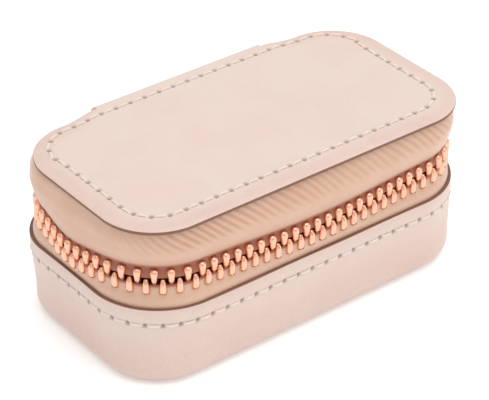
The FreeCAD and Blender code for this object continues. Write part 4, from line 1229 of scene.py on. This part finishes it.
def dress_carried_nodes():
    """The carried-over boards, linings, dividers, slider, ring and pull get their finishes."""
    dress("board", "base_floor_board", "base_wall_board", "lid_board")
    dress("suede", "base_wall_lining", "divider_cross", "divider_lengthwise", "lid_lining",
          "hinge_lining_lower", "hinge_lining_upper", "pocket_elastic")
    dress("metal", "zip_bottom_stop", "zip_top_stop_lower", "zip_top_stop_upper", "zip_slider",
          "pull_ring")
    dress("leather", "base_bottom_leather", "pull_tab")


# ---------------------------------------------------------------- stage
CAMERA_PLACE = (-0.2448, -0.3159, 0.2815)
CAMERA_TURN, CAMERA_RISE = -37.74, 33.33  # degrees round from the front, and up
CAMERA_LENS, CAMERA_SENSOR = 162.5, 36.0  # millimetres
FLOOR_HALF = 3.0  # half the width of the square floor
FLOOR_GLOW = 0.17  # the floor gives back this much light of its own
SKY_LIGHT = 0.78
LAMPS_AIM = Vector((0, 0, 0.02))
LAMPS = {  # place, width of the square lamp, watts
    "overhead": ((0.1, -0.1, 0.9), 0.9, 4.6),
    "front_left": ((-0.75, -0.7, 0.55), 0.5, 0.35),
    "front_right": ((0.7, -0.8, 0.4), 0.5, 0.9),
}


def build_stage():
    """A pale floor, soft light from above and all round, and the camera."""
    scene = bpy.context.scene
    mesh = bpy.data.meshes.new("floor")
    corners = [(x * FLOOR_HALF, y * FLOOR_HALF, 0) for x, y in ((-1, -1), (1, -1), (1, 1), (-1, 1))]
    mesh.from_pydata(corners, [], [(0, 1, 2, 3)])
    floor = bpy.data.objects.new("floor", mesh)
    scene.collection.objects.link(floor)
    material, shader, _ = new_material("pale_floor")
    shader.inputs["Base Color"].default_value = (0.97, 0.97, 0.97, 1)
    shader.inputs["Roughness"].default_value = 0.9
    shader.inputs["Specular IOR Level"].default_value = 0.1
    shader.inputs["Emission Color"].default_value = (1, 1, 1, 1)
    shader.inputs["Emission Strength"].default_value = FLOOR_GLOW
    mesh.materials.append(material)
    world = bpy.data.worlds.new("studio")
    scene.world = world
    world.use_nodes = True
    sky = world.node_tree.nodes["Background"]
    sky.inputs["Color"].default_value = (1, 1, 1, 1)
    sky.inputs["Strength"].default_value = SKY_LIGHT
    scene.view_settings.view_transform = "Standard"
    for name, (place, size, power) in LAMPS.items():
        data = bpy.data.lights.new(name, "AREA")
        data.shape, data.size, data.energy = "SQUARE", size, power
        lamp = bpy.data.objects.new(name, data)
        scene.collection.objects.link(lamp)
        lamp.location = place
        lamp.rotation_euler = (LAMPS_AIM - Vector(place)).to_track_quat("-Z", "Y").to_euler()
    data = bpy.data.cameras.new("camera")
    camera = bpy.data.objects.new("camera", data)
    scene.collection.objects.link(camera)
    data.sensor_width, data.lens = CAMERA_SENSOR, CAMERA_LENS
    data.clip_start = 0.01
    turn, rise = math.radians(CAMERA_TURN), math.radians(CAMERA_RISE)
    back = Vector((math.sin(turn) * math.cos(rise), -math.cos(turn) * math.cos(rise), math.sin(rise)))
    camera.location = CAMERA_PLACE
    camera.rotation_euler = (-back).to_track_quat("-Z", "Y").to_euler()
    scene.camera = camera


# ---------------------------------------------------------------- operators and panel
class CASE_OT_base_leather(bpy.types.Operator):
    """Wall leather of the base, with its stitch holes and cut top edge."""

    bl_idname = "case.base_leather"
    bl_label = "Base leather"

    def execute(self, context):
        build_base_leather(context.scene.case_sizes)
        return {"FINISHED"}


class CASE_OT_lid_leather(bpy.types.Operator):
    """Lid leather and hinge flap in one piece, with a rolled and cut edge."""

    bl_idname = "case.lid_leather"
    bl_label = "Lid leather and flap"

    def execute(self, context):
        build_lid_leather(context.scene.case_sizes)
        return {"FINISHED"}


class CASE_OT_stitching(bpy.types.Operator):
    """Hand-sewn seams of the lid, the base and the hinge flap."""

    bl_idname = "case.stitching"
    bl_label = "Stitching"

    def execute(self, context):
        build_lid_stitching(context.scene.case_sizes)
        build_base_stitching(context.scene.case_sizes)
        build_flap_stitching(context.scene.case_sizes)
        return {"FINISHED"}


class CASE_OT_tapes(bpy.types.Operator):
    """Satin tapes of the zip, the upper one with slanting ribs."""

    bl_idname = "case.tapes"
    bl_label = "Zip tapes"

    def execute(self, context):
        build_lower_tape(context.scene.case_sizes)
        build_upper_tape(context.scene.case_sizes)
        return {"FINISHED"}


class CASE_OT_teeth(bpy.types.Operator):
    """Both rows of metal teeth."""

    bl_idname = "case.teeth"
    bl_label = "Zip teeth"

    def execute(self, context):
        build_teeth(context.scene.case_sizes)
        return {"FINISHED"}


class CASE_OT_ring_rolls(bpy.types.Operator):
    """Stuffed rolls that hold rings."""

    bl_idname = "case.ring_rolls"
    bl_label = "Ring rolls"

    def execute(self, context):
        build_ring_rolls()
        return {"FINISHED"}


class CASE_OT_floor_pad(bpy.types.Operator):
    """Thin lined pad on the floor of the base."""

    bl_idname = "case.floor_pad"
    bl_label = "Floor pad"

    def execute(self, context):
        build_floor_pad(context.scene.case_sizes)
        return {"FINISHED"}


class CASE_OT_lid_pocket(bpy.types.Operator):
    """Gathered pocket inside the lid."""

    bl_idname = "case.lid_pocket"
    bl_label = "Lid pocket"

    def execute(self, context):
        build_lid_pocket()
        return {"FINISHED"}


class CASE_OT_carried_nodes(bpy.types.Operator):
    """Finishes of the boards, linings, dividers, slider, ring and pull."""

    bl_idname = "case.carried_nodes"
    bl_label = "Boards, linings and slider"

    def execute(self, context):
        dress_carried_nodes()
        return {"FINISHED"}


class CASE_OT_stage(bpy.types.Operator):
    """Pale floor, soft lights and the camera."""

    bl_idname = "case.stage"
    bl_label = "Stage"

    def execute(self, context):
        build_stage()
        return {"FINISHED"}


OPERATORS = (CASE_OT_stage, CASE_OT_base_leather, CASE_OT_lid_leather, CASE_OT_stitching,
             CASE_OT_tapes, CASE_OT_teeth, CASE_OT_ring_rolls, CASE_OT_floor_pad,
             CASE_OT_lid_pocket, CASE_OT_carried_nodes)


class CASE_PT_sidebar(bpy.types.Panel):
    """The case's sizes, colours and pieces."""

    bl_idname = "CASE_PT_sidebar"
    bl_label = "Jewellery case"
    bl_space_type = "VIEW_3D"
    bl_region_type = "UI"
    bl_category = "Case"

    def draw(self, context):
        for group in (context.scene.case_sizes, context.scene.case_colours):
            for name in group.__annotations__:
                self.layout.prop(group, name)
        for operator in OPERATORS:
            self.layout.operator(operator.bl_idname)


CLASSES = (CaseSizes, CaseColours, *OPERATORS, CASE_PT_sidebar)


def register():
    """Registers the classes and hangs the two property groups on the scene."""
    for item in CLASSES:
        bpy.utils.register_class(item)
    bpy.types.Scene.case_sizes = bpy.props.PointerProperty(type=CaseSizes)
    bpy.types.Scene.case_colours = bpy.props.PointerProperty(type=CaseColours)


def unregister():
    """Takes the property groups off the scene and unregisters the classes."""
    del bpy.types.Scene.case_colours
    del bpy.types.Scene.case_sizes
    for item in reversed(CLASSES):
        bpy.utils.unregister_class(item)


def main():
    """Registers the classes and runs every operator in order."""
    register()
    for operator in OPERATORS:
        getattr(bpy.ops.case, operator.bl_idname.split(".")[1])()


if __name__ == "__main__":
    main()
